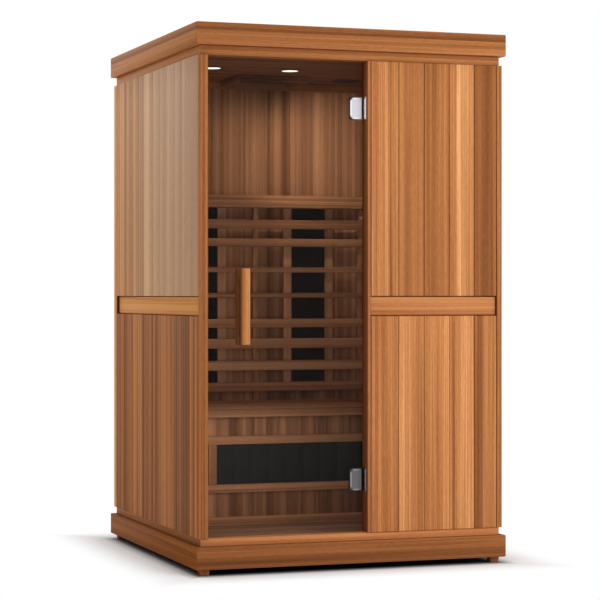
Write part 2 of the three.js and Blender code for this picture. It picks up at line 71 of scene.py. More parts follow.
# Boards and their joints, in metres
MM = 0.001
FIT_GAP = 0.1 * MM  # a board is this much short of each joint line
BOARD_PITCH = 97 * MM
NARROWEST = 12 * MM
BOARD_EDGE = 1.6 * MM
RAIL_EDGE = 1.8 * MM
SLAT_EDGE = 3.5 * MM
HANDLE_EDGE = 4 * MM
INNER_BOARD = 12 * MM
CEILING_BOARD = 12 * MM
SIDE_FIRST_BOARD = 112 * MM
FRONT_FIRST_BOARD = 106 * MM
BACK_FIRST_BOARD = 12 * MM
BENCH_FIRST_BOARD = 50 * MM
POST_DEPTH = 4 * MM
POST_STRIPS = (7 * MM, 24 * MM)  # glue lines of the corner post, from its outer face
BELT_GAP = 2 * MM
RECESS_END = 1.5 * MM  # how far the painted shade at the end of a belt rail's recess reaches round the stile's edge
CORNICE_STRIP = 27 * MM  # darker strip along the top of the cornice
CALF_TRIM = 32 * MM
HEATER_TRIM = 34 * MM
HEATER_SILL = 22 * MM
FOOT_TAPER = 0.84  # width of a foot's underside, as a share of its top
JAMB_SHADE_FROM = 8 * MM  # the jamb has painted shade from this far left of the front panel
HANDLE_SIDE = 3 * MM  # depth of the inner handle's left side, made paler as painted light
SHARP = math.radians(30)
FACING = 0.9  # a face looks along a direction when its normal goes that way by more than this
FLAT = 0.97  # the same for the flat faces of a board, and not for its rounded edges

# Fittings, in metres
RING_RIM = 2.5 * MM  # thickness of the ring of a round ceiling fitting
LAMP_RING = 47 * MM
LAMP_CAN = 38 * MM
LAMP_RECESS = 34 * MM
LAMP_RECESS_DEPTH = 3 * MM
LAMP_LENS = 32 * MM
LENS_LENGTH = 1.6 * MM
LENS_HEIGHT = 2 * MM  # middle of the lens, above the ring's underside
SPEAKER_RING = 59 * MM
SPEAKER_RIM = 7 * MM
SPEAKER_BASKET = 48 * MM
GRILLE_DEPTH = 2.2 * MM
GRILLE_RIDGES = 9
RIDGE_WIDTH = 1.4 * MM
RIDGE_HEIGHT = 1.2 * MM
HOLE_LENGTH = 0.2  # more than the thickness of the roof
LIGHT_BOX_WALL = 12 * MM
LIGHT_PANEL = 6 * MM
LIGHT_PANEL_BORDER = 9 * MM
LIGHT_PANEL_RECESS = 2 * MM
COLOUR_LAMP = 14 * MM
COLOUR_LAMP_LENGTH = 3 * MM
COLOUR_LAMP_DROP = 5 * MM  # middle of a lamp, below the ceiling
RIB_START = 30 * MM  # cooling ribs of the power box, from its front
RIB_MARGIN = 25 * MM
RIB_WIDTH = 5 * MM
RIB_HEIGHT = 3 * MM
RIB_PITCH = 11 * MM
RIB_COUNT = 9
PIN_HALF = Vector((1, 6, 2.5)) * MM  # half the size of an inlet pin
PIN_DEPTH = 12 * MM  # middle of a pin, behind the face of the inlet
PIN_PLACES = ((-7 * MM, -2 * MM), (0, 3 * MM), (7 * MM, -2 * MM))  # across and up
SCREEN_BEZEL = 12.5 * MM
SCREEN_FOOT = 36 * MM  # room for the buttons below the screen
SCREEN_DEPTHS = (2 * MM, 0.6 * MM)  # back and front of the screen, behind the casing's face
BUTTON_RADIUS = 6 * MM
BUTTON_LENGTH = 2.4 * MM
BUTTON_PITCH = 24 * MM
BUTTON_COUNT = 5
FIRST_BUTTON = (27 * MM, 24 * MM)  # across and up, from the casing's lower corner
ROD_RADIUS = 4 * MM
COLLAR_RADIUS = 8 * MM
SCREW_LENGTH = 1.6 * MM
SCREW_PROUD = 0.2 * MM  # middle of a screw head, outside the face that it sits in
SOCKET_RIM = 0.45  # width of the rim round a screw's socket, as a share of its radius
SOCKET_DEPTH = 0.9 * MM
TRIM_SCREW = 3 * MM
TRIM_SCREW_HEIGHTS = (1.224, 0.86, 0.615)  # above the ground
CLAMP_BORDER = 5 * MM  # polished border of a hinge clamp
CLAMP_SCREW = 4 * MM
CLAMP_SCREW_INSET = 13 * MM
CLAMP_SCREW_LIFTS = (-22 * MM, 22 * MM)
GASKET_RIM = 1.2 * MM
GASKET_REACH = 24 * MM
GASKET_CORNER = 11 * MM
GASKET_FACES = (0.05 * MM, 0.9 * MM)  # from the face of the glass
PLATE_FRONT = 8 * MM  # front edge of a hinge plate, as bright as the clamp's polished border
PLATE_THICKNESS = 4 * MM
PLATE_SCREW = 3.2 * MM
PLATE_SCREW_INSET = 9 * MM
PLATE_SCREW_LIFTS = (-28 * MM, 0, 28 * MM)
PLATE_PAINTED_SHADE = 0.36  # painted shade on a plate behind its front edge, against the flat of its clamp

# Looks of the boards. A tone is dark below 0 and pale above it, a fade takes colour out, a figure
# is the strength of the grain, and a joint is how much darker the edges are.
JOINT_SHADE = 0.32
# Tone of the painted shade at the end of a belt rail's recess
RECESS_PAINTED_SHADE = -0.5
INSIDE_FADE = 0.11
INSIDE = dict(fades=(INSIDE_FADE,), figures=(1.1,), joint=0.14, edge=1.0 * MM)
# Left wall, from front to back: paler above the belt rail than below it. The paler, greyer upper boards
# with faint grain are painted sheen, strongest at the front.
LEFT_UPPER = dict(
    tones=(0.20, 0.22, 0.23, 0.25, 0.25, 0.25, 0.26, 0.26, 0.29, 0.29, 0.26, 0.33),
    fades=(0.22, 0.23, 0.22, 0.22, 0.21, 0.20, 0.18, 0.15, 0.12, 0.09, 0.06, 0.0),
    figures=(0.4, 0.35, 0.4, 0.35, 0.4, 0.4, 0.5, 0.5, 1.0, 1.0, 1.0, 0.8),
    joint=0.04,
    edge=0.7 * MM,
)
LEFT_LOWER = dict(
    tones=(-0.06, -0.22, -0.22, -0.01, 0.02, 0.01, -0.16, -0.07, -0.02, -0.02, -0.10, -0.14),
    fades=(-0.02,),
    figures=(1.3,),
    joint=0.12,
    edge=0.9 * MM,
)
# Stiles and belt rails of the side walls: tone and fade
LEFT_STILE = (0.46, -0.04)
# The left belt rail's high tone is painted light.
LEFT_BELT = (0.50, -0.08)
RIGHT_STILE = (0.04, 0.0)
RIGHT_BELT = (0.06, 0.0)
# Front panel, from the jamb to the right
FRONT_UPPER = dict(tones=(0.06, 0.02, -0.07, 0.19, -0.15), figures=(1.5, 0.6, 0.9, 1.3, 0.8))
FRONT_LOWER = dict(tones=(-0.09, 0.19, 0.21, 0.20, 0.02), figures=(1.2, 1.6, 1.5, 1.5, 1.4))
# Back wall and bench front from left to right, and slats from the first to the eighth
BACK_TONES = (-0.08, -0.08, -0.06, -0.06, -0.14, 0.02, 0.03, -0.24, -0.07, 0.10, 0.06, -0.08, 0.0)
BENCH_TONES = (-0.07, -0.07, 0.02, -0.27, -0.12, -0.16, -0.16, -0.30, -0.30, -0.2, -0.2, -0.2)
# The first slat's low tone is painted shade, and the lower slats' higher tones are painted light.
SLAT_TONES = (-0.08, 0.03, 0.06, 0.14, 0.22, 0.12, 0.12, 0.03)

# Streaks in the upper boards: from, to, change of tone. Front: from the jamb. Left: from the front face.
FRONT_STREAKS = (
    (4 * MM, 8 * MM, 0.16),
    (36 * MM, 46 * MM, -0.10),
    (72 * MM, 79 * MM, -0.10),
    (86 * MM, 90 * MM, 0.08),
    (231 * MM, 240 * MM, -0.10),
    (346 * MM, 352 * MM, -0.10),
    (363 * MM, 369 * MM, -0.08),
    (448 * MM, 454 * MM, -0.05),
)
LEFT_STREAKS = (
    (105 * MM, 112 * MM, -0.05),
    (309 * MM, 314 * MM, -0.05),
    (514 * MM, 520 * MM, -0.08),
    (635 * MM, 721 * MM, 0.16),
    (690 * MM, 721 * MM, 0.14),
    (722 * MM, 779 * MM, -0.08),
    (883 * MM, 944 * MM, -0.06),
)
# Streaks of a belt rail, from its top, as shares of its height
BELT_STREAKS = ((0.37, 0.42, -0.13), (0.70, 0.83, -0.13))

# Cedar from heartwood to sapwood
CEDAR_STOPS = (
    (0.00, (0.110, 0.033, 0.011)),
    (0.25, (0.245, 0.083, 0.027)),
    (0.45, (0.370, 0.132, 0.044)),
    (0.60, (0.500, 0.190, 0.065)),
    (0.78, (0.640, 0.262, 0.094)),
    (1.00, (0.850, 0.415, 0.175)),
)
# Steel from dull to polished
STEEL_STOPS = (
    (0.00, (0.05, 0.05, 0.05)),
    (0.20, (0.16, 0.15, 0.15)),
    (0.50, (0.66, 0.68, 0.74)),
    (1.00, (0.98, 0.98, 1.00)),
)
PLYWOOD_STOPS = (
    (0.3, (0.42, 0.26, 0.13)),
    (0.5, (0.55, 0.37, 0.20)),
    (0.7, (0.62, 0.44, 0.26)),
)
GLASS_STOPS = ((0.3, (0.009, 0.007, 0.006)), (0.7, (0.013, 0.010, 0.009)))
LAMP_STOPS = ((0.3, (1.0, 0.93, 0.82)), (0.7, (1.0, 0.97, 0.90)))
FLOOR_STOPS = ((0.0, (0.02, 0.02, 0.02)), (1.0, (0.92, 0.92, 0.92)))  # painted shadow under the cabin, and the floor beyond it

# Floor and light, in metres. Places on the floor are measured outwards from the cabin's outline.
FLOOR_SIZE = 60
FLOOR_DROP = 0.2 * MM
FLOOR_EDGE = (-0.05, 0.04)  # from the painted shadow under the cabin to the pale floor
FLOOR_FADE = (-0.02, 0.23)  # from the floor with its shadow to plain white
AMBIENT = 0.40  # strength of the light from all round
SPOT_DROP = 30 * MM  # ceiling spots, below the downlights
SPOT_AIM = 1.47  # height on the back wall that they are turned to

# Camera, in metres, degrees and millimetres of lens
CAMERA_PLACE = (-2.588, -7.414, 0.9676)
CAMERA_TURN = -19.273
CAMERA_LENS = 124.66
CAMERA_SENSOR = 36
CAMERA_SHIFT = -0.0102

board_numbers = itertools.count(1)
shuffle = random.Random(11)


# Working in edit mode
def deselect():
    bpy.ops.object.select_all(action="DESELECT")


def take(piece):
    """Makes a piece the only selected and the active one."""
    deselect()
    piece.select_set(True)
    bpy.context.view_layer.objects.active = piece


@contextmanager
def editing(piece):
    take(piece)
    bpy.ops.object.mode_set(mode="EDIT")
    bpy.ops.mesh.select_all(action="DESELECT")
    yield
    bpy.ops.object.mode_set(mode="OBJECT")


def pick(piece, kind, test):
    """Selects the faces, edges or points of a piece that pass a test, in edit mode."""
    bpy.ops.mesh.select_mode(type=kind)
    bpy.ops.mesh.select_all(action="DESELECT")
    shape = bmesh.from_edit_mesh(piece.data)
    shape.normal_update()
    for part in {"FACE": shape.faces, "EDGE": shape.edges, "VERT": shape.verts}[kind]:
        if test(part):
            part.select_set(True)
    shape.select_flush_mode()
    bmesh.update_edit_mesh(piece.data)


def faces_up(face):
    return face.normal.z > FACING


def faces_down(face):
    return face.normal.z < -FACING


def push(offset):
    """Extrudes the selected faces by an offset."""
    bpy.ops.mesh.extrude_region_move(TRANSFORM_OT_translate={"value": offset})


def soften(piece, width, segments=2):
    """Rounds all the sharp edges of a piece."""
    with editing(piece):
        pick(piece, "EDGE", lambda edge: edge.calc_face_angle(0) > SHARP)
        bpy.ops.mesh.bevel(offset=width, segments=segments, affect="EDGES")


# Blanks
def block(name, x, y, z):
    """A squared block between three spans, with its place in its mesh."""
    deselect()
    low = Vector((x[0], y[0], z[0]))
    high = Vector((x[1], y[1], z[1]))
    bpy.ops.mesh.primitive_cube_add(size=1, location=(low + high) / 2, scale=high - low)
    bpy.ops.object.transform_apply()
    piece = bpy.context.object
    piece.name = name
    return piece


def disc(name, centre, radius, length, axis=Z, sides=48):
    """A round blank about an axis, with its place in its mesh."""
    deselect()
    turn = {X: (0, math.pi / 2, 0), Y: (math.pi / 2, 0, 0), Z: (0, 0, 0)}[axis]
    bpy.ops.mesh.primitive_cylinder_add(
        vertices=sides, radius=radius, depth=length, location=centre, rotation=turn
    )
    bpy.ops.object.transform_apply()
    piece = bpy.context.object
    piece.name = name
    return piece


def copy_of(source, name, offset):
    """A copy with its own mesh, moved by an offset."""
    piece = bpy.data.objects.new(name, source.data.copy())
    piece.data.transform(Matrix.Translation(offset))
    bpy.context.scene.collection.objects.link(piece)
    return piece


def row_of(first, step, count):
    """A piece and its copies, each a step farther."""
    return [first] + [copy_of(first, first.name, step * number) for number in range(1, count)]


def from_node(name, node):
    """A clean copy of a CAD node's shape, with its triangles merged into faces."""
    piece = bpy.data.objects.new(name, nodes[node].data.copy())
    piece.data.materials.clear()
    bpy.context.scene.collection.objects.link(piece)
    with editing(piece):
        bpy.ops.mesh.select_all(action="SELECT")
        bpy.ops.mesh.remove_doubles(threshold=0.01 * MM)
        bpy.ops.mesh.dissolve_limited(angle_limit=math.radians(1))
    return piece


def joined(name, pieces):
    """Several pieces as one object."""
    deselect()
    for piece in pieces:
        piece.select_set(True)
    bpy.context.view_layer.objects.active = pieces[0]
    if len(pieces) > 1:
        bpy.ops.object.join()
    whole = bpy.context.view_layer.objects.active
    whole.name = name
    return whole


def drill(piece, cutter):
    """Cuts a hole through a piece."""
    hole = piece.modifiers.new("hole", "BOOLEAN")
    hole.operation = "DIFFERENCE"
    hole.solver = "EXACT"
    hole.object = cutter
    take(piece)
    bpy.ops.object.modifier_apply(modifier=hole.name)


# Boards
def face_layer(mesh, name, kind):
    return mesh.attributes.get(name) or mesh.attributes.new(name, kind, "FACE")


def mark_grain(piece, grain, tone, fade=0.0, figure=1.0):
    """Gives every face of a board its grain direction, tone, fade, figure and the board's number."""
    mesh = piece.data
    count = len(mesh.polygons)
    number = float(next(board_numbers))
    face_layer(mesh, "grain", "FLOAT_VECTOR").data.foreach_set("vector", list(UNIT[grain]) * count)
    for name, value in (("tone", tone), ("fade", fade), ("figure", figure), ("board_number", number)):
        face_layer(mesh, name, "FLOAT").data.foreach_set("value", [value] * count)


def darken_edges(piece, amount):
    """Darkens the rounded edges of a board, where dust and finish gather in the joints. On a belt rail the
    dark edges are painted shade along its recess.
    """
    tones = piece.data.attributes["tone"].data
    for face in piece.data.polygons:
        if max(abs(part) for part in face.normal) < FLAT:
            tones[face.index].value -= amount


def retone(piece, test, tone):
    """Gives the faces that pass test(middle) another tone and number. On some boards this is a strip glued
    to the board, on others painted shade or painted light on part of it.
    """
    number = float(next(board_numbers))
    tones = piece.data.attributes["tone"].data
    numbers = piece.data.attributes["board_number"].data
    for face in piece.data.polygons:
        if test(face.center):
            tones[face.index].value = tone
            numbers[face.index].value = number


def split_faces(piece, place, normal):
    """Splits the faces of a board along a plane."""
    with editing(piece):
        bpy.ops.mesh.select_all(action="SELECT")
        bpy.ops.mesh.bisect(plane_co=place, plane_no=normal)


def streak(piece, axis, near, far, change):
    """A darker or paler growth band through a board, between two places along an axis."""
    for place in (near, far):
        split_faces(piece, UNIT[axis] * place, UNIT[axis])
    tones = piece.data.attributes["tone"].data
    for face in piece.data.polygons:
        if near < face.center[axis] < far:
            tones[face.index].value += change


def streak_boards(boards, axis, start, streaks):
    """Streaks in boards side by side. Each streak goes into the boards that it crosses."""
    for piece in boards:
        places = [point.co[axis] for point in piece.data.vertices]
        for near, far, change in streaks:
            if min(places) < start + far and max(places) > start + near:
                streak(piece, axis, start + near, start + far, change)


def board(name, x, y, z, grain, tone, edge=BOARD_EDGE, segments=2, fade=0.0, figure=1.0):
    piece = block(name, x, y, z)
    soften(piece, edge, segments)
    mark_grain(piece, grain, tone, fade, figure)
    return piece


def board_in_box(name, node, grain, tone, edge=RAIL_EDGE, segments=2, fade=0.0, figure=1.0):
    """A board of the size and place of a CAD node."""
    return board(name, *zip(*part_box(node)), grain, tone, edge, segments, fade, figure)


def belt_board(node, grain, tone, fade=0.0):
    """A belt rail with dark streaks along it, and dark edges that are painted shade along its recess."""
    low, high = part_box(node)
    height = high.z - low.z
    rail = board_in_box(f"{node}_board", node, grain, tone, fade=fade)
    # Painted shade on the rail's edges, along its recess.
    darken_edges(rail, JOINT_SHADE)
    for upper, lower, change in BELT_STREAKS:
        streak(rail, Z, high.z - height * lower, high.z - height * upper, change)
    return rail


def joint_lines(start, first, end):
    """Places of the joints between boards, from one end to the other."""
    lines = [start]
    at = first
    while at < end - NARROWEST:
        lines.append(at)
        at += BOARD_PITCH
    lines.append(end)
    return lines


def clad(
    name, across, lines, spans, grain, tones,
    fades=(0.0,), figures=(1.0,), joint=JOINT_SHADE, edge=BOARD_EDGE,
):
    """Boards side by side between joint lines. Boards of one width are copies of the first such board."""
    boards = []
    patterns = {}
    for index, (near, far) in enumerate(zip(lines, lines[1:])):
        width = round(far - near, 5)
        if width in patterns:
            source, source_near = patterns[width]
            piece = copy_of(source, f"{name}_{index}", UNIT[across] * (near - source_near))
        else:
            place = list(spans)
            place[across] = (near + FIT_GAP, far - FIT_GAP)
            piece = block(f"{name}_{index}", *place)
            soften(piece, edge)
            patterns[width] = (piece, near)
        boards.append(piece)
    looks = zip(itertools.cycle(tones), itertools.cycle(fades), itertools.cycle(figures))
    for piece, (tone, fade, figure) in zip(boards, looks):
        mark_grain(piece, grain, tone, fade, figure)
        darken_edges(piece, joint)
    return boards


def mixed_tones(count, middle=0.0, swing=0.12):
    return [middle + shuffle.uniform(-swing, swing) for _ in range(count)]


def mitred_boards(name, low, high, thickness, tones, fades=(0.0, 0.0, 0.0, 0.0)):
    """Four boards on edge round a rectangle, mitred at the corners: front, back, left and right."""
    boards = []
    for side, tone, fade in zip(("front", "back", "left", "right"), tones, fades):
        along = X if side in ("front", "back") else Y
        across = Y if along == X else X
        sign = 1 if side in ("front", "left") else -1
        face = low[across] if sign > 0 else high[across]
        inner = face + sign * thickness
        spans = [None, None, (low.z, high.z)]
        spans[along] = (low[along] + FIT_GAP, high[along] - FIT_GAP)
        spans[across] = tuple(sorted((face, inner)))
        piece = block(f"{name}_{side}", *spans)
        middle = (low[along] + high[along]) / 2

        def at_mitre(point, end):
            """A point on the inner face of one end, which the mitre cuts back."""
            return abs(point.co[across] - inner) < MM and (point.co[along] - middle) * end > 0

        with editing(piece):
            for end in (-1, 1):
                pick(piece, "VERT", lambda point: at_mitre(point, end))
                bpy.ops.transform.translate(value=UNIT[along] * (-end * thickness))
        soften(piece, RAIL_EDGE)
        mark_grain(piece, along, tone, fade)
        boards.append(piece)
    return boards


# Materials
def new_finish(name):
    finish = bpy.data.materials.new(name)
    finish.use_nodes = True
    return finish, finish.node_tree, finish.node_tree.nodes["Principled BSDF"]


def add(tree, kind, **settings):
    made = tree.nodes.new(kind)
    for key, value in settings.items():
        setattr(made, key, value)
    return made


def feed(tree, socket, value):
    """Links an output to a socket, or sets the socket to a plain value."""
    if isinstance(value, bpy.types.NodeSocket):
        tree.links.new(value, socket)
    else:
        socket.default_value = value


def wire(tree, made, sockets):
    """Feeds several sockets of a node, by their names."""
    for name, value in sockets.items():
        feed(tree, made.inputs[name], value)


def object_place(tree):
    return add(tree, "ShaderNodeTexCoord").outputs["Object"]


def face_value(tree, name):
    """A number that each face of a piece carries."""
    return add(tree, "ShaderNodeAttribute", attribute_name=name).outputs["Fac"]


def sums(tree, operation, first, second):
    made = add(tree, "ShaderNodeMath", operation=operation)
    feed(tree, made.inputs[0], first)
    feed(tree, made.inputs[1], second)
    return made.outputs[0]


def vectors(tree, operation, first, second=None, scale=None):
    made = add(tree, "ShaderNodeVectorMath", operation=operation)
    feed(tree, made.inputs[0], first)
    if second is not None:
        feed(tree, made.inputs[1], second)
    if scale is not None:
        feed(tree, made.inputs["Scale"], scale)
    return made.outputs["Value" if operation == "DOT_PRODUCT" else "Vector"]


def noise(tree, place, scale, detail=2.0, roughness=0.5):
    made = add(tree, "ShaderNodeTexNoise")
    wire(tree, made, {"Vector": place, "Scale": scale, "Detail": detail, "Roughness": roughness})
    return made.outputs["Fac"]


def scaled(tree, place, scale):
    """The place, squeezed or stretched along each axis."""
    made = add(tree, "ShaderNodeMapping")
    wire(tree, made, {"Vector": place, "Scale": scale})
    return made.outputs["Vector"]


def ramp(tree, value, stops):
    made = add(tree, "ShaderNodeValToRGB")
    feed(tree, made.inputs["Fac"], value)
    elements = made.color_ramp.elements
    while len(elements) < len(stops):
        elements.new(0.5)
    for element, (place, colour) in zip(elements, stops):
        element.position = place
        element.color = (*colour, 1)
    return made.outputs["Color"]


def spread(tree, value, low, high):
    """A value of 0 to 1, carried over to another range."""
    made = add(tree, "ShaderNodeMapRange")
    wire(tree, made, {"Value": value, "To Min": low, "To Max": high})
    return made.outputs["Result"]


def bump(tree, shader, height, strength, distance):
    made = add(tree, "ShaderNodeBump")
    wire(tree, made, {"Height": height, "Strength": strength, "Distance": distance})
    feed(tree, shader.inputs["Normal"], made.outputs["Normal"])


def cedar_finish():
    """Straight-grained cedar: broad bands, sharp strips, growth lines and flecks along each board."""
    finish, tree, shader = new_finish("cedar")
    place = object_place(tree)
    grain = add(tree, "ShaderNodeAttribute", attribute_name="grain").outputs["Vector"]
    tone, fade, figure, number = (
        face_value(tree, name) for name in ("tone", "fade", "figure", "board_number")
    )
    along = vectors(tree, "DOT_PRODUCT", place, grain)
    moved = vectors(tree, "ADD", place, vectors(tree, "SCALE", (0.37, 0.53, 0.29), scale=number))

    def stretched(keep):
        """The place with its length along the grain cut down to a share."""
        back = vectors(tree, "SCALE", grain, scale=sums(tree, "MULTIPLY", along, keep - 1))
        return vectors(tree, "ADD", moved, back)

    def weighed(part, weight):
        """A pattern of 0 to 1, brought to both sides of 0."""
        return sums(tree, "MULTIPLY", sums(tree, "SUBTRACT", part, 0.5), weight)

    bands = noise(tree, stretched(0.012), 21, 1.5, 0.5)
    strips = add(tree, "ShaderNodeTexVoronoi")
    wire(tree, strips, {"Vector": stretched(0.003), "Scale": 75})
    strip = add(tree, "ShaderNodeSeparateColor")
    feed(tree, strip.inputs["Color"], strips.outputs["Color"])
    lines = noise(tree, stretched(0.006), 210, 3, 0.6)
    flecks = noise(tree, stretched(0.075), 520, 2, 0.6)

    pattern = 0.0
    for part, weight in ((bands, 0.85), (strip.outputs["Red"], 0.18), (lines, 0.46)):
        pattern = sums(tree, "ADD", pattern, weighed(part, weight))
    shade = sums(tree, "ADD", sums(tree, "ADD", tone, 0.52), sums(tree, "MULTIPLY", pattern, figure))
    shade = sums(tree, "ADD", shade, weighed(flecks, 0.34))
    golden = sums(tree, "MULTIPLY", sums(tree, "MAXIMUM", fade, 0.0), 0.05)
    golden = sums(tree, "ADD", golden, spread(tree, strip.outputs["Green"], 0.4985, 0.5035))
    # The fade takes colour out. On the left wall's upper boards it is painted sheen.
    faded = add(tree, "ShaderNodeHueSaturation")
    wire(tree, faded, {
        "Color": ramp(tree, shade, CEDAR_STOPS),
        "Saturation": sums(tree, "SUBTRACT", 1.0, fade),
        "Hue": golden,
    })
    wire(tree, shader, {
        "Base Color": faded.outputs["Color"],
        "Roughness": spread(tree, lines, 0.52, 0.72),
        "Specular IOR Level": 0.05,
    })
    bump(tree, shader, sums(tree, "ADD", lines, flecks), 0.10, 0.4 * MM)
    return finish


def glass_finish():
    """Smoked glass: a thin brown veil that lets most light through, with a faint smear of dust."""
    finish, tree, shader = new_finish("smoked_glass")
    smear = noise(tree, object_place(tree), 3, 3, 0.6)
    wire(tree, shader, {
        "Alpha": spread(tree, smear, 0.235, 0.265),
        "Base Color": ramp(tree, smear, GLASS_STOPS),
        "Roughness": 0.03,
        "Specular IOR Level": 0.09,
    })
    return finish


def steel_finish():
    """Brushed steel, drawn upwards. A face's shine makes it brighter or duller than plain steel: polish,
    and painted reflection and shade.
    """
    finish, tree, shader = new_finish("brushed_steel")
    strokes = noise(tree, scaled(tree, object_place(tree), (1, 1, 0.02)), 2500, 3, 0.6)
    shine = sums(tree, "ADD", face_value(tree, "shine"), 0.45)
    level = sums(tree, "ADD", sums(tree, "MULTIPLY", strokes, 0.10), shine)
    wire(tree, shader, {
        "Base Color": ramp(tree, level, STEEL_STOPS),
        "Roughness": spread(tree, strokes, 0.30, 0.46),
        "Metallic": 1.0,
    })
    bump(tree, shader, strokes, 0.05, 0.1 * MM)
    return finish


def heater_finish(name, dark, light):
    """Black carbon panel with fine level lines pressed into it."""
    finish, tree, shader = new_finish(name)
    place = object_place(tree)
    lines = add(tree, "ShaderNodeTexWave", bands_direction="Z")
    wire(tree, lines, {"Vector": place, "Scale": 48})
    pressed = lines.outputs["Fac"]
    cloud = noise(tree, place, 40, 3, 0.6)
    mixed = sums(tree, "ADD", sums(tree, "MULTIPLY", pressed, 0.55), sums(tree, "MULTIPLY", cloud, 0.45))
    wire(tree, shader, {
        "Base Color": ramp(tree, mixed, ((0.2, dark), (0.8, light))),
        "Roughness": spread(tree, cloud, 0.55, 0.75),
        "Specular IOR Level": 0.2,
    })
    bump(tree, shader, pressed, 0.15, 0.3 * MM)
    return finish


def moulded_finish(name, dark, light, roughness, grain_scale=1800):
    """Moulded plastic or paint with a fine even texture."""
    finish, tree, shader = new_finish(name)
    place = object_place(tree)
    texture = noise(tree, place, grain_scale, 2, 0.5)
    cloud = noise(tree, place, 25, 3, 0.6)
    wire(tree, shader, {
        "Base Color": ramp(tree, cloud, ((0.3, dark), (0.7, light))),
        "Roughness": spread(tree, texture, roughness - 0.06, roughness + 0.06),
    })
    bump(tree, shader, texture, 0.06, 0.1 * MM)
    return finish


def lamp_finish():
    """Frosted lamp cover, lit from behind, with a faint warm mottle."""
    finish, tree, shader = new_finish("lamp_cover")
    warm = ramp(tree, noise(tree, object_place(tree), 300, 2, 0.5), LAMP_STOPS)
    wire(tree, shader, {
        "Base Color": warm,
        "Emission Color": warm,
        "Emission Strength": 2.5,
        "Roughness": 0.4,
    })
    return finish


def plywood_finish():
    """Pale roofing plywood with a rotary-cut figure."""
    finish, tree, shader = new_finish("plywood")
    figure = noise(tree, scaled(tree, object_place(tree), (0.25, 1.6, 1)), 9, 5, 0.62)
    wire(tree, shader, {
        "Base Color": ramp(tree, figure, PLYWOOD_STOPS),
        "Roughness": spread(tree, figure, 0.6, 0.75),
    })
    bump(tree, shader, figure, 0.1, 0.4 * MM)
    return finish


cedar = cedar_finish()
glass = glass_finish()
steel = steel_finish()
# Two copies of one black: the back heaters' darker one is painted shade from the slats in front of them,
# the calf heater's paler one painted light.
heater_black = heater_finish("heater_black", (0.003, 0.003, 0.004), (0.008, 0.009, 0.010))
calf_heater_black = heater_finish("calf_heater_black", (0.016, 0.016, 0.017), (0.024, 0.024, 0.025))
bronze = moulded_finish("bronze_paint", (0.10, 0.062, 0.040), (0.14, 0.088, 0.058), 0.45)
grey_plastic = moulded_finish("grey_plastic", (0.045, 0.044, 0.042), (0.07, 0.068, 0.065), 0.55)
black_plastic = moulded_finish("black_plastic", (0.010, 0.010, 0.011), (0.018, 0.018, 0.019), 0.42)
dark_lens = moulded_finish("dark_lens", (0.006, 0.006, 0.007), (0.010, 0.010, 0.011), 0.12, 60)
lamp_cover = lamp_finish()
plywood = plywood_finish()


def fit(piece, finish, slot, body, *stands_for):
    """Gives a finished piece its material, its body and the nodes that it stands for."""
    take(piece)
    bpy.ops.object.shade_smooth_by_angle(angle=SHARP)
    piece.data.materials.clear()
    piece.data.materials.append(finish)
    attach(piece, body)
    if stands_for:
        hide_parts(*stands_for)


def fit_wood(piece, slot, *stands_for):
    """A wooden piece of the cabin."""
    fit(piece, cedar, slot, "cabin", *stands_for)


def fit_plastic(piece, finish, *stands_for):
    """A fitting of the cabin, in one of the dark plastics."""
    fit(piece, finish, "black_plastic", "cabin", *stands_for)


def dress(node, finish):
    """A CAD node whose shape is right, with a better material."""
    mesh = nodes[node].data
    mesh.materials.clear()
    mesh.materials.append(finish)


# Base
def make_feet():
    for corner in ("front_left", "front_right", "back_left", "back_right"):
        piece = block(f"foot_block_{corner}", *zip(*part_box(f"foot_{corner}")))
        with editing(piece):
            pick(piece, "FACE", faces_down)
            bpy.ops.transform.resize(value=(FOOT_TAPER, FOOT_TAPER, 1))
        soften(piece, 1.5 * MM)
        mark_grain(piece, Z, -0.22)
        fit_wood(piece, "red_cedar", f"foot_{corner}")


def make_base():
    low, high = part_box("plinth_frame")
    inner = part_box("floor_panel")[0]
    tones = (-0.20, -0.2, -0.15, -0.2)
    plinth = mitred_boards("plinth", low, high, inner.x - low.x, tones, (0, 0, -0.08, 0))
    fit_wood(joined("plinth_boards", plinth), "red_cedar", "plinth_frame")

    low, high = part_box("floor_rim")
    rim = mitred_boards("floor_rim_board", low, high, inner.x - low.x, (0.21, -0.1, -0.1, -0.1))
    fit_wood(joined("floor_rim_boards", rim), "cedar", "floor_rim")

    low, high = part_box("floor_panel")
    lines = joint_lines(low.y, low.y + BOARD_PITCH, high.y)
    tones = mixed_tones(len(lines), -0.19, 0.05)
    deck = clad("deck_board", Y, lines, list(zip(low, high)), X, tones, (0.2,))
    fit_wood(joined("floor_boards", deck), "cedar", "floor_panel")


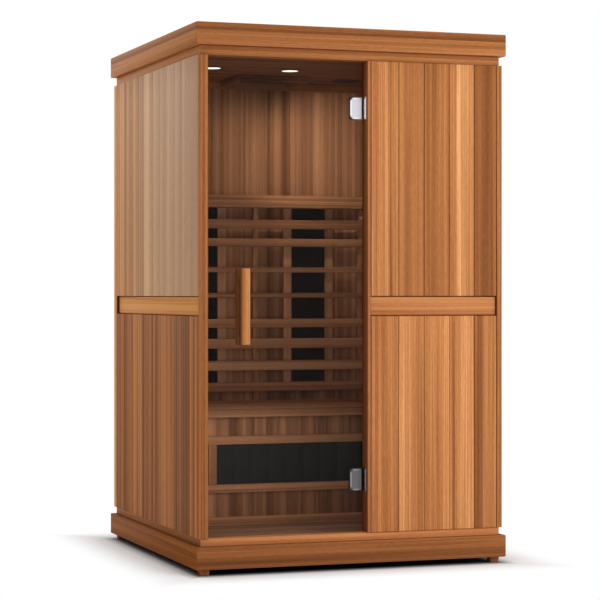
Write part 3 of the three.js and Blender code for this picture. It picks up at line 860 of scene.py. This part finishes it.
# Walls
def make_side_wall(side, upper, lower, stile_look, belt_look):
    sign = -1 if side == "left" else 1
    low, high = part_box(f"{side}_wall")
    rail_low, rail_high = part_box(f"{side}_belt_rail")
    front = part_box("left_wall")[0].y
    outer = low.x if sign < 0 else high.x
    room = high.x if sign < 0 else low.x
    split = room + sign * INNER_BOARD
    outside = tuple(sorted((outer, split + sign * FIT_GAP)))
    inside = tuple(sorted((room, split)))
    belt = (rail_low.z - BELT_GAP, rail_high.z + BELT_GAP)
    z = (low.z, high.z)
    start = low.y + POST_DEPTH

    lines = joint_lines(start, front + SIDE_FIRST_BOARD, rail_high.y)
    boards = clad(f"{side}_upper", Y, lines, [outside, None, (belt[1], high.z)], Z, **upper)
    if side == "left":
        streak_boards(boards, Y, front, LEFT_STREAKS)
    boards += clad(f"{side}_lower", Y, lines, [outside, None, (low.z, belt[0])], Z, **lower)
    tone, fade = stile_look
    stile = board(f"{side}_stile", outside, (rail_high.y + FIT_GAP, high.y), z, Z, tone, fade=fade)
    # Painted shade on the stile's edge at the end of the belt rail's recess.
    retone(stile, lambda middle: middle.y < rail_high.y + RECESS_END, RECESS_PAINTED_SHADE)
    boards.append(stile)

    lines = joint_lines(start, front + SIDE_FIRST_BOARD, high.y)
    tones = mixed_tones(12, 0.0, 0.06)
    boards += clad(f"{side}_inner", Y, lines, [inside, None, z], Z, tones, **INSIDE)

    post = board(f"{side}_post", (low.x, high.x), (low.y, start - FIT_GAP), z, Z, -0.08, 0.8 * MM)
    for depth in POST_STRIPS:
        split_faces(post, (outer - sign * depth, 0, 0), (1, 0, 0))
    retone(post, lambda middle: abs(middle.x - outer) < POST_STRIPS[0], -0.13)
    retone(post, lambda middle: abs(middle.x - outer) > POST_STRIPS[1], -0.05)
    boards.append(post)
    fit_wood(joined(f"{side}_wall_boards", boards), "cedar", f"{side}_wall")
    fit_wood(belt_board(f"{side}_belt_rail", Y, *belt_look), "pale_cedar", f"{side}_belt_rail")


def make_back_wall():
    low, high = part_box("back_wall")
    z = (low.z, high.z)
    middle = (low.y + high.y) / 2
    lines = joint_lines(low.x, low.x + BACK_FIRST_BOARD, high.x)
    boards = clad("back_inner", X, lines, [None, (low.y, middle - FIT_GAP), z], Z, BACK_TONES, **INSIDE)
    boards += clad("back_outer", X, lines, [None, (middle, high.y), z], Z, mixed_tones(len(lines)))
    fit_wood(joined("back_wall_boards", boards), "cedar", "back_wall")


def make_front_panel():
    low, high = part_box("front_panel")
    rail_low, rail_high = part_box("front_belt_rail")
    belt = (rail_low.z - BELT_GAP, rail_high.z + BELT_GAP)
    z = (low.z, high.z)
    split = high.y - INNER_BOARD
    outside = (low.y, split - FIT_GAP)
    first = low.x + FRONT_FIRST_BOARD

    lines = joint_lines(low.x, first, rail_high.x)
    boards = clad("front_upper", X, lines, [None, outside, (belt[1], high.z)], Z, **FRONT_UPPER)
    streak_boards(boards, X, low.x, FRONT_STREAKS)
    boards += clad("front_lower", X, lines, [None, outside, (low.z, belt[0])], Z, **FRONT_LOWER)
    stile = board("front_stile", (rail_high.x + FIT_GAP, high.x), outside, z, Z, 0.14, figure=2.0)
    # Painted shade on the stile's edge at the end of the belt rail's recess.
    retone(stile, lambda middle: middle.x < rail_high.x + RECESS_END, RECESS_PAINTED_SHADE)
    boards.append(stile)

    lines = joint_lines(low.x, first, high.x)
    boards += clad("front_inner", X, lines, [None, (split, high.y), z], Z, mixed_tones(6), **INSIDE)
    fit_wood(joined("front_panel_boards", boards), "pale_cedar", "front_panel")
    fit_wood(belt_board("front_belt_rail", X, 0.22), "pale_cedar", "front_belt_rail")

    jamb = board_in_box("door_jamb_board", "door_jamb", Z, 0.08, 1.3 * MM)
    darken_edges(jamb, JOINT_SHADE)
    # Painted shade on the part of the jamb that the door shades.
    retone(jamb, lambda middle: middle.x < low.x - JAMB_SHADE_FROM, -0.22)
    fit_wood(jamb, "cedar", "door_jamb")
    fit_wood(board_in_box("door_stop_board", "door_stop", Z, -0.05, 1.5 * MM), "cedar", "door_stop")


# Roof
def make_rims():
    """The narrow rim above the walls and the cornice over it."""
    low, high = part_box("roof_rim")
    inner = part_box("floor_panel")[0]
    rim = mitred_boards("roof_rim_board", low, high, inner.x - low.x, (0.06, -0.02, 0.19, 0.0))
    fit_wood(joined("roof_rim_boards", rim), "pale_cedar", "roof_rim")

    low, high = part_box("cornice_frame")
    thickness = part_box("roof_panel")[0].x - low.x
    cornice = mitred_boards("cornice", low, high, thickness, (0.01, 0.0, 0.13, 0.0), (0, 0, -0.04, 0))
    strip = high.z - CORNICE_STRIP
    for piece, tone in zip(cornice, (-0.14, -0.1, -0.05, -0.05)):
        split_faces(piece, (0, 0, strip), (0, 0, 1))
        retone(piece, lambda middle: middle.z > strip, tone)
    fit_wood(joined("cornice_boards", cornice), "cedar", "cornice_frame")


def make_roof_panel():
    """Ceiling boards under a plywood deck, with holes for the round fittings."""
    low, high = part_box("roof_panel")
    under = low.z + CEILING_BOARD
    lines = joint_lines(low.y, low.y + BOARD_PITCH, high.y)
    x = (low.x, high.x)
    boards = clad("ceiling_board", Y, lines, [x, None, (low.z, under - FIT_GAP)], X, (0,))
    deck = block("roof_deck", x, (low.y, high.y), (under, high.z))
    for node in ("downlight_left", "downlight_centre", "speaker_left", "speaker_right"):
        radius = (LAMP_CAN if node.startswith("downlight") else SPEAKER_BASKET) + MM
        middle = sum(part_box(node), Vector()) / 2
        cutter = disc("hole_cutter", middle, radius, HOLE_LENGTH)
        for piece in [*boards, deck]:
            y = [point.co.y for point in piece.data.vertices]
            if min(y) < middle.y + radius and max(y) > middle.y - radius:
                drill(piece, cutter)
        bpy.data.objects.remove(cutter)
    for piece, tone in zip(boards, mixed_tones(len(boards), -0.16, 0.05)):
        mark_grain(piece, X, tone, INSIDE_FADE)
    soften(deck, 0.8 * MM, 1)
    fit_wood(joined("ceiling_boards", boards), "cedar", "roof_panel")
    fit(deck, plywood, "cedar", "cabin")


def ceiling_can(name, node, ring, can):
    """A round fitting: a ring under the ceiling and a narrower can up through it."""
    low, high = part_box(node)
    centre = ((low.x + high.x) / 2, (low.y + high.y) / 2, low.z + RING_RIM / 2)
    piece = disc(name, centre, ring, RING_RIM)
    with editing(piece):
        pick(piece, "FACE", faces_up)
        bpy.ops.mesh.inset(thickness=ring - can)
        push((0, 0, high.z - low.z - RING_RIM))
    return piece


def make_downlights():
    for side in ("left", "centre"):
        node = f"downlight_{side}"
        low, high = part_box(node)
        housing = ceiling_can(f"lamp_housing_{side}", node, LAMP_RING, LAMP_CAN)
        with editing(housing):
            pick(housing, "FACE", faces_down)
            bpy.ops.mesh.inset(thickness=LAMP_RING - LAMP_RECESS)
            push((0, 0, LAMP_RECESS_DEPTH))
        soften(housing, 0.7 * MM)
        fit(housing, bronze, "white_plastic", "cabin", node)
        centre = ((low.x + high.x) / 2, (low.y + high.y) / 2, low.z + LENS_HEIGHT)
        lens = disc(f"lamp_lens_{side}", centre, LAMP_LENS, LENS_LENGTH)
        soften(lens, 0.6 * MM)
        fit(lens, lamp_cover, "white_plastic", "cabin")


def make_speakers():
    for side in ("left", "right"):
        node = f"speaker_{side}"
        speaker = ceiling_can(f"speaker_unit_{side}", node, SPEAKER_RING, SPEAKER_BASKET)
        with editing(speaker):
            pick(speaker, "FACE", faces_down)
            bpy.ops.mesh.inset(thickness=SPEAKER_RIM)
            push((0, 0, GRILLE_DEPTH))
            # Ridges of the grille, from the rim to the middle
            for _ in range(GRILLE_RIDGES):
                for lift in (-RIDGE_HEIGHT, RIDGE_HEIGHT):
                    bpy.ops.mesh.inset(thickness=RIDGE_WIDTH)
                    push((0, 0, lift))
        fit(speaker, grey_plastic, "grey_plastic", "cabin", node)


def make_light_box():
    low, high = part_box("ceiling_light_box")
    # The front board's low tone is painted shade.
    tones = (-0.34, -0.12, -0.1, -0.12)
    box = mitred_boards("light_box", low, high, LIGHT_BOX_WALL, tones, (INSIDE_FADE,) * 4)
    fit_wood(joined("light_box_frame", box), "cedar", "ceiling_light_box")
    x = (low.x + LIGHT_BOX_WALL, high.x - LIGHT_BOX_WALL)
    y = (low.y + LIGHT_BOX_WALL, high.y - LIGHT_BOX_WALL)
    panel = block("light_box_panel", x, y, (high.z - LIGHT_PANEL, high.z))
    with editing(panel):
        pick(panel, "FACE", faces_down)
        bpy.ops.mesh.inset(thickness=LIGHT_PANEL_BORDER)
        push((0, 0, LIGHT_PANEL_RECESS))
    soften(panel, 0.6 * MM)
    fit_plastic(panel, black_plastic)

    # Nine lamps in three rows of three, a quarter of the panel apart
    step_x = UNIT[X] * ((x[1] - x[0]) / 4)
    step_y = UNIT[Y] * ((y[1] - y[0]) / 4)
    first_spot = Vector((x[0], y[0], high.z - COLOUR_LAMP_DROP)) + step_x + step_y
    lamp = disc("colour_lamp", first_spot, COLOUR_LAMP, COLOUR_LAMP_LENGTH, sides=32)
    soften(lamp, 1.2 * MM, 3)
    lamps = []
    for first in row_of(lamp, step_y, 3):
        lamps += row_of(first, step_x, 3)
    fit_plastic(joined("colour_lamps", lamps), dark_lens)


# Electrics
def make_power_box():
    low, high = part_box("power_box")
    box = from_node("power_box_casing", "power_box")
    soften(box, 1.5 * MM)
    fit_plastic(box, black_plastic, "power_box")
    x = (low.x + RIB_MARGIN, high.x - RIB_MARGIN)
    y = (low.y + RIB_START, low.y + RIB_START + RIB_WIDTH)
    rib = block("cooling_rib", x, y, (high.z, high.z + RIB_HEIGHT))
    soften(rib, 1.2 * MM)
    ribs = row_of(rib, UNIT[Y] * RIB_PITCH, RIB_COUNT)
    fit_plastic(joined("cooling_ribs", ribs), black_plastic)

    pins = []
    for across, up in PIN_PLACES:
        centre = Vector((across, high.y - PIN_DEPTH, (low.z + high.z) / 2 + up))
        pin = block("inlet_pin", *zip(centre - PIN_HALF, centre + PIN_HALF))
        soften(pin, 0.4 * MM)
        pins.append(pin)
    fit(joined("inlet_pins", pins), steel, "steel", "cabin")


def make_control_panel():
    low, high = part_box("control_panel")
    casing = from_node("control_casing", "control_panel")
    soften(casing, 1.2 * MM)
    fit_plastic(casing, black_plastic, "control_panel")
    x = (low.x + SCREEN_BEZEL, high.x - SCREEN_BEZEL)
    y = [high.y - depth for depth in SCREEN_DEPTHS]
    screen = block("control_screen", x, y, (low.z + SCREEN_FOOT, high.z - SCREEN_BEZEL))
    soften(screen, 0.5 * MM)
    fit_plastic(screen, dark_lens)
    across, up = FIRST_BUTTON
    centre = (low.x + across, high.y - BUTTON_LENGTH / 2, low.z + up)
    button = disc("control_button", centre, BUTTON_RADIUS, BUTTON_LENGTH, axis=Y, sides=32)
    soften(button, 0.6 * MM)
    buttons = row_of(button, UNIT[X] * BUTTON_PITCH, BUTTON_COUNT)
    fit_plastic(joined("control_buttons", buttons), grey_plastic)


# Door
def make_door():
    dress("door_glass", glass)
    # The inner bar's pale tone is painted light: it lies in the outer bar's shadow behind the glass.
    for side, tone in (("outer", 0.09), ("inner", 0.35)):
        node = f"door_handle_{side}"
        bar = board_in_box(f"handle_bar_{side}", node, Z, tone, HANDLE_EDGE, 4, figure=1.8)
        if side == "inner":
            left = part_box(node)[0].x
            # Painted light on the inner bar's left side.
            retone(bar, lambda middle: middle.x < left + HANDLE_SIDE, 0.45)
        fit(bar, cedar, "pale_cedar", "door", node)
    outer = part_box("door_handle_outer")[1].y
    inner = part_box("door_handle_inner")[0].y
    glass_low, glass_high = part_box("door_glass")
    for level in ("upper", "lower"):
        low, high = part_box(f"handle_bolt_{level}")
        middle = (low + high) / 2
        rod = disc("handle_rod", middle, ROD_RADIUS, high.y - low.y, axis=Y, sides=24)
        soften(rod, 0.5 * MM)
        fit(rod, steel, "steel", "door", f"handle_bolt_{level}")
        collars = []
        for near, far in ((outer, glass_low.y), (glass_high.y, inner)):
            spot = (middle.x, (near + far) / 2, middle.z)
            collar = disc("handle_collar", spot, COLLAR_RADIUS, far - near - 2 * FIT_GAP, axis=Y, sides=32)
            soften(collar, 1.0 * MM, 3)
            mark_grain(collar, Y, -0.05)
            collars.append(collar)
        fit(joined(f"handle_collars_{level}", collars), cedar, "steel", "door")


def screw_head(name, centre, axis, sign, radius):
    """A round screw head with a socket, that stands proud of a face."""
    head = disc(name, centre, radius, SCREW_LENGTH, axis=axis, sides=24)
    with editing(head):
        pick(head, "FACE", lambda face: face.normal[axis] * sign > FACING)
        bpy.ops.mesh.inset(thickness=radius * SOCKET_RIM)
        push(UNIT[axis] * (-sign * SOCKET_DEPTH))
    soften(head, 0.25 * MM, 1)
    return head


def paint_shine(piece, shine_at):
    """Gives each face of a steel piece the shine of its middle: polish, and painted reflection and shade.
    """
    layer = face_layer(piece.data, "shine", "FLOAT").data
    for face in piece.data.polygons:
        layer[face.index].value = shine_at(face.center)


def make_clamp(level, plain, bright):
    """A clamp round the glass, with a polished border on its front and two screws behind."""
    node = f"hinge_clamp_{level}"
    low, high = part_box(node)
    clamp = from_node(f"hinge_clamp_body_{level}", node)
    with editing(clamp):
        pick(
            clamp,
            "FACE",
            lambda face: face.normal.y < -FACING and face.calc_center_median().y < low.y + MM,
        )
        bpy.ops.mesh.inset(thickness=CLAMP_BORDER)
    soften(clamp, 0.7 * MM)

    def shine_at(place):
        flat = all(
            low[axis] + CLAMP_BORDER < place[axis] < high[axis] - CLAMP_BORDER for axis in (X, Z)
        )
        return plain if flat else bright

    paint_shine(clamp, shine_at)
    x = low.x + CLAMP_SCREW_INSET
    y = high.y + SCREW_PROUD
    middle = (low.z + high.z) / 2
    screws = [
        screw_head("clamp_screw", (x, y, middle + lift), Y, 1, CLAMP_SCREW) for lift in CLAMP_SCREW_LIFTS
    ]
    fit(joined(f"hinge_clamp_body_{level}", [clamp, *screws]), steel, "steel", "door", node)


def make_gaskets(level):
    """Black gaskets between a clamp and both faces of the glass, with the free corners cut off."""
    low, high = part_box(f"hinge_clamp_{level}")
    middle = (low.z + high.z) / 2
    x = (low.x - GASKET_RIM, low.x + GASKET_REACH)
    z = (low.z - GASKET_RIM, high.z + GASKET_RIM)
    gaskets = []
    for corner, sign in zip(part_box("door_glass"), (-1, 1)):
        y = sorted(corner.y + sign * face for face in GASKET_FACES)
        gasket = block("hinge_gasket", x, y, z)
        with editing(gasket):
            for end in (-1, 1):
                pick(gasket, "VERT", lambda point: point.co.x < low.x and (point.co.z - middle) * end > 0)
                bpy.ops.mesh.bevel(offset=GASKET_CORNER, segments=1, affect="VERTICES")
        gaskets.append(gasket)
    fit(joined(f"hinge_gaskets_{level}", gaskets), black_plastic, "black_plastic", "door")


def make_hinge_plate(level, plain, bright):
    """A wall plate with a bright front edge, painted shade behind that edge, and three screws."""
    node = f"hinge_plate_{level}"
    low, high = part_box(node)
    clamp_low, clamp_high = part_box(f"hinge_clamp_{level}")
    middle = (clamp_low.z + clamp_high.z) / 2
    plate = from_node(f"hinge_plate_body_{level}", node)
    soften(plate, 0.5 * MM)
    edge = low.y + PLATE_FRONT
    split_faces(plate, (0, edge, 0), (0, 1, 0))
    x = high.x - PLATE_THICKNESS - SCREW_PROUD
    y = low.y + PLATE_SCREW_INSET
    screws = [
        screw_head("plate_screw", (x, y, middle + lift), X, -1, PLATE_SCREW) for lift in PLATE_SCREW_LIFTS
    ]
    plate = joined(f"hinge_plate_body_{level}", [plate, *screws])
    # Bright front edge, with painted shade on the plate behind it.
    paint_shine(plate, lambda place: bright if place.y < edge else plain - PLATE_PAINTED_SHADE)
    fit(plate, steel, "steel", "cabin", node)


def make_hinges():
    # The lower hinge's duller shine is a painted darker reflection, on the same steel as the upper one.
    for level, plain, bright in (("upper", 0.12, 0.55), ("lower", -0.31, -0.22)):
        make_clamp(level, plain, bright)
        make_gaskets(level)
        make_hinge_plate(level, plain, bright)
        dress(f"hinge_pin_{level}", steel)


# Bench
def heater_tiles(name, node, along, count):
    """A heater panel as tiles with fine seams."""
    low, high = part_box(node)
    step = (high[along] - low[along]) / count
    spans = list(zip(low, high))
    spans[along] = (low[along] + FIT_GAP, low[along] + step - FIT_GAP)
    first = block(name, *spans)
    soften(first, 0.7 * MM)
    return row_of(first, UNIT[along] * step, count)


def inside_rail(name, x, y, z, grain, tone):
    """A rail or trim inside the cabin."""
    return board(name, x, y, z, grain, tone, RAIL_EDGE, fade=INSIDE_FADE)


def make_bench():
    nosing = board_in_box("bench_nosing_board", "bench_nosing", X, -0.10, 3 * MM, 3, INSIDE_FADE)
    fit_wood(nosing, "pale_cedar", "bench_nosing")
    low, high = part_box("bench_top")
    lines = joint_lines(low.y, low.y + BOARD_PITCH, high.y)
    seat = clad("seat_board", Y, lines, list(zip(low, high)), X, mixed_tones(7, 0.26, 0.06), **INSIDE)
    fit_wood(joined("bench_seat_boards", seat), "cedar", "bench_top")

    low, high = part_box("bench_front_panel")
    lines = joint_lines(low.x, low.x + BENCH_FIRST_BOARD, high.x)
    panel = clad("bench_board", X, lines, list(zip(low, high)), Z, BENCH_TONES, **INSIDE)
    fit_wood(joined("bench_front_boards", panel), "cedar", "bench_front_panel")
    skirting = board_in_box("bench_skirting_board", "bench_skirting", X, -0.04, fade=INSIDE_FADE)
    fit_wood(skirting, "cedar", "bench_skirting")


def make_calf_heater():
    low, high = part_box("calf_heater_frame")
    heater_low, heater_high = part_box("calf_heater")
    x, y = (low.x, high.x), (low.y, high.y)
    between = (heater_low.z - FIT_GAP, heater_high.z + FIT_GAP)
    left = (heater_low.x - CALF_TRIM, heater_low.x)
    right = (heater_high.x, heater_high.x + CALF_TRIM)
    trim = [
        inside_rail("calf_rail_low", x, y, (low.z, between[0]), X, -0.02),
        inside_rail("calf_rail_high", x, y, (between[1], high.z), X, 0.0),
        inside_rail("calf_trim_left", left, y, between, Z, -0.13),
        inside_rail("calf_trim_right", right, y, between, Z, -0.03),
    ]
    fit_wood(joined("calf_heater_trim", trim), "cedar", "calf_heater_frame")
    tiles = joined("calf_heater_tiles", heater_tiles("calf_tile", "calf_heater", X, 10))
    fit(tiles, calf_heater_black, "heater_black", "cabin", "calf_heater")


# Backrest
def make_backrest():
    for number, tone in enumerate(SLAT_TONES, 1):
        node = f"backrest_slat_{number}"
        slat = board_in_box(f"backrest_slat_board_{number}", node, X, tone, SLAT_EDGE, 3, INSIDE_FADE)
        fit_wood(slat, "cedar", node)
    for side in ("left", "centre", "right"):
        rib = from_node(f"backrest_rib_board_{side}", f"backrest_rib_{side}")
        soften(rib, 1.0 * MM)
        mark_grain(rib, Z, 0.16, INSIDE_FADE)
        fit_wood(rib, "cedar", f"backrest_rib_{side}")
    rail = from_node("backrest_top_board", "backrest_top_rail")
    soften(rail, 2.0 * MM, 3)
    mark_grain(rail, X, 0.05, INSIDE_FADE, 1.5)
    fit_wood(rail, "pale_cedar", "backrest_top_rail")


def make_back_heaters():
    heads = []
    for side in ("left", "right"):
        low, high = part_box(f"heater_frame_{side}")
        x, y = (low.x, high.x), (low.y, high.y)
        upright = (low.z + HEATER_SILL + FIT_GAP, high.z)
        trim = [
            inside_rail("heater_sill", x, y, (low.z, low.z + HEATER_SILL), X, -0.03),
            inside_rail("heater_trim", (low.x, low.x + HEATER_TRIM), y, upright, Z, 0.18),
            inside_rail("heater_trim", (high.x - HEATER_TRIM, high.x), y, upright, Z, 0.15),
        ]
        fit_wood(joined(f"heater_trim_{side}", trim), "cedar", f"heater_frame_{side}")
        node = f"back_heater_{side}"
        tiles = joined(f"back_heater_tiles_{side}", heater_tiles("back_tile", node, Z, 9))
        fit(tiles, heater_black, "heater_black", "cabin", node)
        middles = (low.x + HEATER_TRIM / 2, high.x - HEATER_TRIM / 2)
        for middle, z in itertools.product(middles, TRIM_SCREW_HEIGHTS):
            heads.append(screw_head("trim_screw", (middle, low.y - SCREW_PROUD, z), Y, -1, TRIM_SCREW))
    fit(joined("heater_trim_screws", heads), steel, "steel", "cabin")


# Floor, light and camera
def lit_by_sight(tree):
    """1 for rays that look at the background, straight or in a mirror or through glass."""
    path = add(tree, "ShaderNodeLightPath")
    seen = sums(tree, "MAXIMUM", path.outputs["Is Camera Ray"], path.outputs["Is Glossy Ray"])
    return sums(tree, "MAXIMUM", seen, path.outputs["Is Transmission Ray"])


def rise(tree, value, low, high, **settings):
    """0 below a low value and 1 above a high one."""
    made = add(tree, "ShaderNodeMapRange", **settings)
    wire(tree, made, {"Value": value, "From Min": low, "From Max": high})
    return made.outputs["Result"]


def make_floor():
    """A pale floor with painted shadow under the cabin, that keeps the real shadow near it and fades to
    white farther out.
    """
    deselect()
    bpy.ops.mesh.primitive_plane_add(size=FLOOR_SIZE, location=(0, 0, -FLOOR_DROP))
    floor = bpy.context.object
    floor.name = "studio_floor"
    finish, tree, shader = new_finish("studio_floor")
    corner = (cad_box[1].x, cad_box[1].y, 0)
    beyond = vectors(tree, "SUBTRACT", vectors(tree, "ABSOLUTE", object_place(tree)), corner)
    sides = add(tree, "ShaderNodeSeparateXYZ")
    feed(tree, sides.inputs[0], beyond)
    distance = sums(tree, "MAXIMUM", sides.outputs["X"], sides.outputs["Y"])
    wire(tree, shader, {
        # Painted shadow under the cabin, pale floor beyond it.
        "Base Color": ramp(tree, rise(tree, distance, *FLOOR_EDGE), FLOOR_STOPS),
        "Roughness": 0.9,
        "Specular IOR Level": 0.1,
    })
    away = rise(tree, distance, *FLOOR_FADE, interpolation_type="SMOOTHSTEP")
    white = add(tree, "ShaderNodeEmission")
    mix = add(tree, "ShaderNodeMixShader")
    feed(tree, mix.inputs["Fac"], sums(tree, "MULTIPLY", away, lit_by_sight(tree)))
    feed(tree, mix.inputs[1], shader.outputs[0])
    feed(tree, mix.inputs[2], white.outputs[0])
    feed(tree, tree.nodes["Material Output"].inputs["Surface"], mix.outputs[0])
    floor.data.materials.append(finish)


def make_world():
    """White where it is looked at, and a soft light on the object."""
    world = bpy.data.worlds.new("studio")
    bpy.context.scene.world = world
    world.use_nodes = True
    tree = world.node_tree
    strength = spread(tree, lit_by_sight(tree), AMBIENT, 1.0)
    wire(tree, tree.nodes["Background"], {"Color": (1, 1, 1, 1), "Strength": strength})


def hang(name, lamp, place, target):
    """Puts a lamp at a place, turned to a target."""
    holder = bpy.data.objects.new(name, lamp)
    holder.location = place
    holder.rotation_euler = (Vector(target) - Vector(place)).to_track_quat("-Z", "Y").to_euler()
    bpy.context.scene.collection.objects.link(holder)
    return holder


def softbox(name, place, target, size, power):
    lamp = bpy.data.lights.new(name, "AREA")
    lamp.shape = "RECTANGLE"
    lamp.size, lamp.size_y = size
    lamp.energy = power
    return hang(name, lamp, place, target)


def ceiling_lamp(name, place, target, power, cone):
    lamp = bpy.data.lights.new(name, "SPOT")
    lamp.energy = power
    lamp.color = (1.0, 0.92, 0.80)
    lamp.spot_size = math.radians(cone)
    lamp.spot_blend = 1.0
    lamp.shadow_soft_size = 0.03
    hang(name, lamp, place, target)


def make_lights():
    make_world()
    key = softbox("key_softbox", (2.4, -5.6, 2.3), (0, 0, 0.8), (3.0, 3.0), 168)
    overhead = softbox("overhead_softbox", (0, -0.6, 6.0), (0, -0.6, 0), (3.0, 3.0), 150)
    inside = softbox("inside_fill", (-0.24, -0.5, 0.80), (-0.18, 0.5, 0.76), (0.5, 1.2), 3.1)
    for lamp in (key, overhead, inside):
        lamp.visible_glossy = False
    inside.visible_camera = False
    inside.visible_transmission = False
    softbox("side_softbox", (-2.0, 4.2, 2.7), (-0.57, 0, 1.5), (1.6, 2.0), 39)
    # Spots under the downlights, aimed at places along the back wall: power and cone in degrees
    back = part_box("back_wall")[0].y
    spots = (("left", -0.2, 2.8, 78), ("centre", 0.05, 4, 76), ("centre", 0.3, 11.5, 74))
    for side, aim, power, cone in spots:
        low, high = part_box(f"downlight_{side}")
        source = ((low.x + high.x) / 2, (low.y + high.y) / 2, low.z - SPOT_DROP)
        ceiling_lamp(f"ceiling_lamp_{side}", source, (aim, back, SPOT_AIM), power, cone)


def make_camera():
    camera = bpy.data.cameras.new("camera")
    camera.sensor_width = CAMERA_SENSOR
    camera.lens = CAMERA_LENS
    camera.shift_y = CAMERA_SHIFT
    holder = bpy.data.objects.new("camera", camera)
    holder.location = CAMERA_PLACE
    holder.rotation_euler = (math.radians(90), 0, math.radians(CAMERA_TURN))
    bpy.context.scene.collection.objects.link(holder)
    bpy.context.scene.camera = holder


make_feet()
make_base()
# The left wall's paler upper boards are painted sheen.
make_side_wall("left", LEFT_UPPER, LEFT_LOWER, LEFT_STILE, LEFT_BELT)
right_boards = dict(tones=mixed_tones(12))
make_side_wall("right", right_boards, right_boards, RIGHT_STILE, RIGHT_BELT)
make_back_wall()
make_front_panel()
make_rims()
make_roof_panel()
make_downlights()
make_speakers()
make_light_box()
make_power_box()
make_control_panel()
make_door()
make_hinges()
make_bench()
make_calf_heater()
make_backrest()
make_back_heaters()
make_floor()
make_lights()
make_camera()
bpy.context.scene.view_settings.view_transform = "Standard"
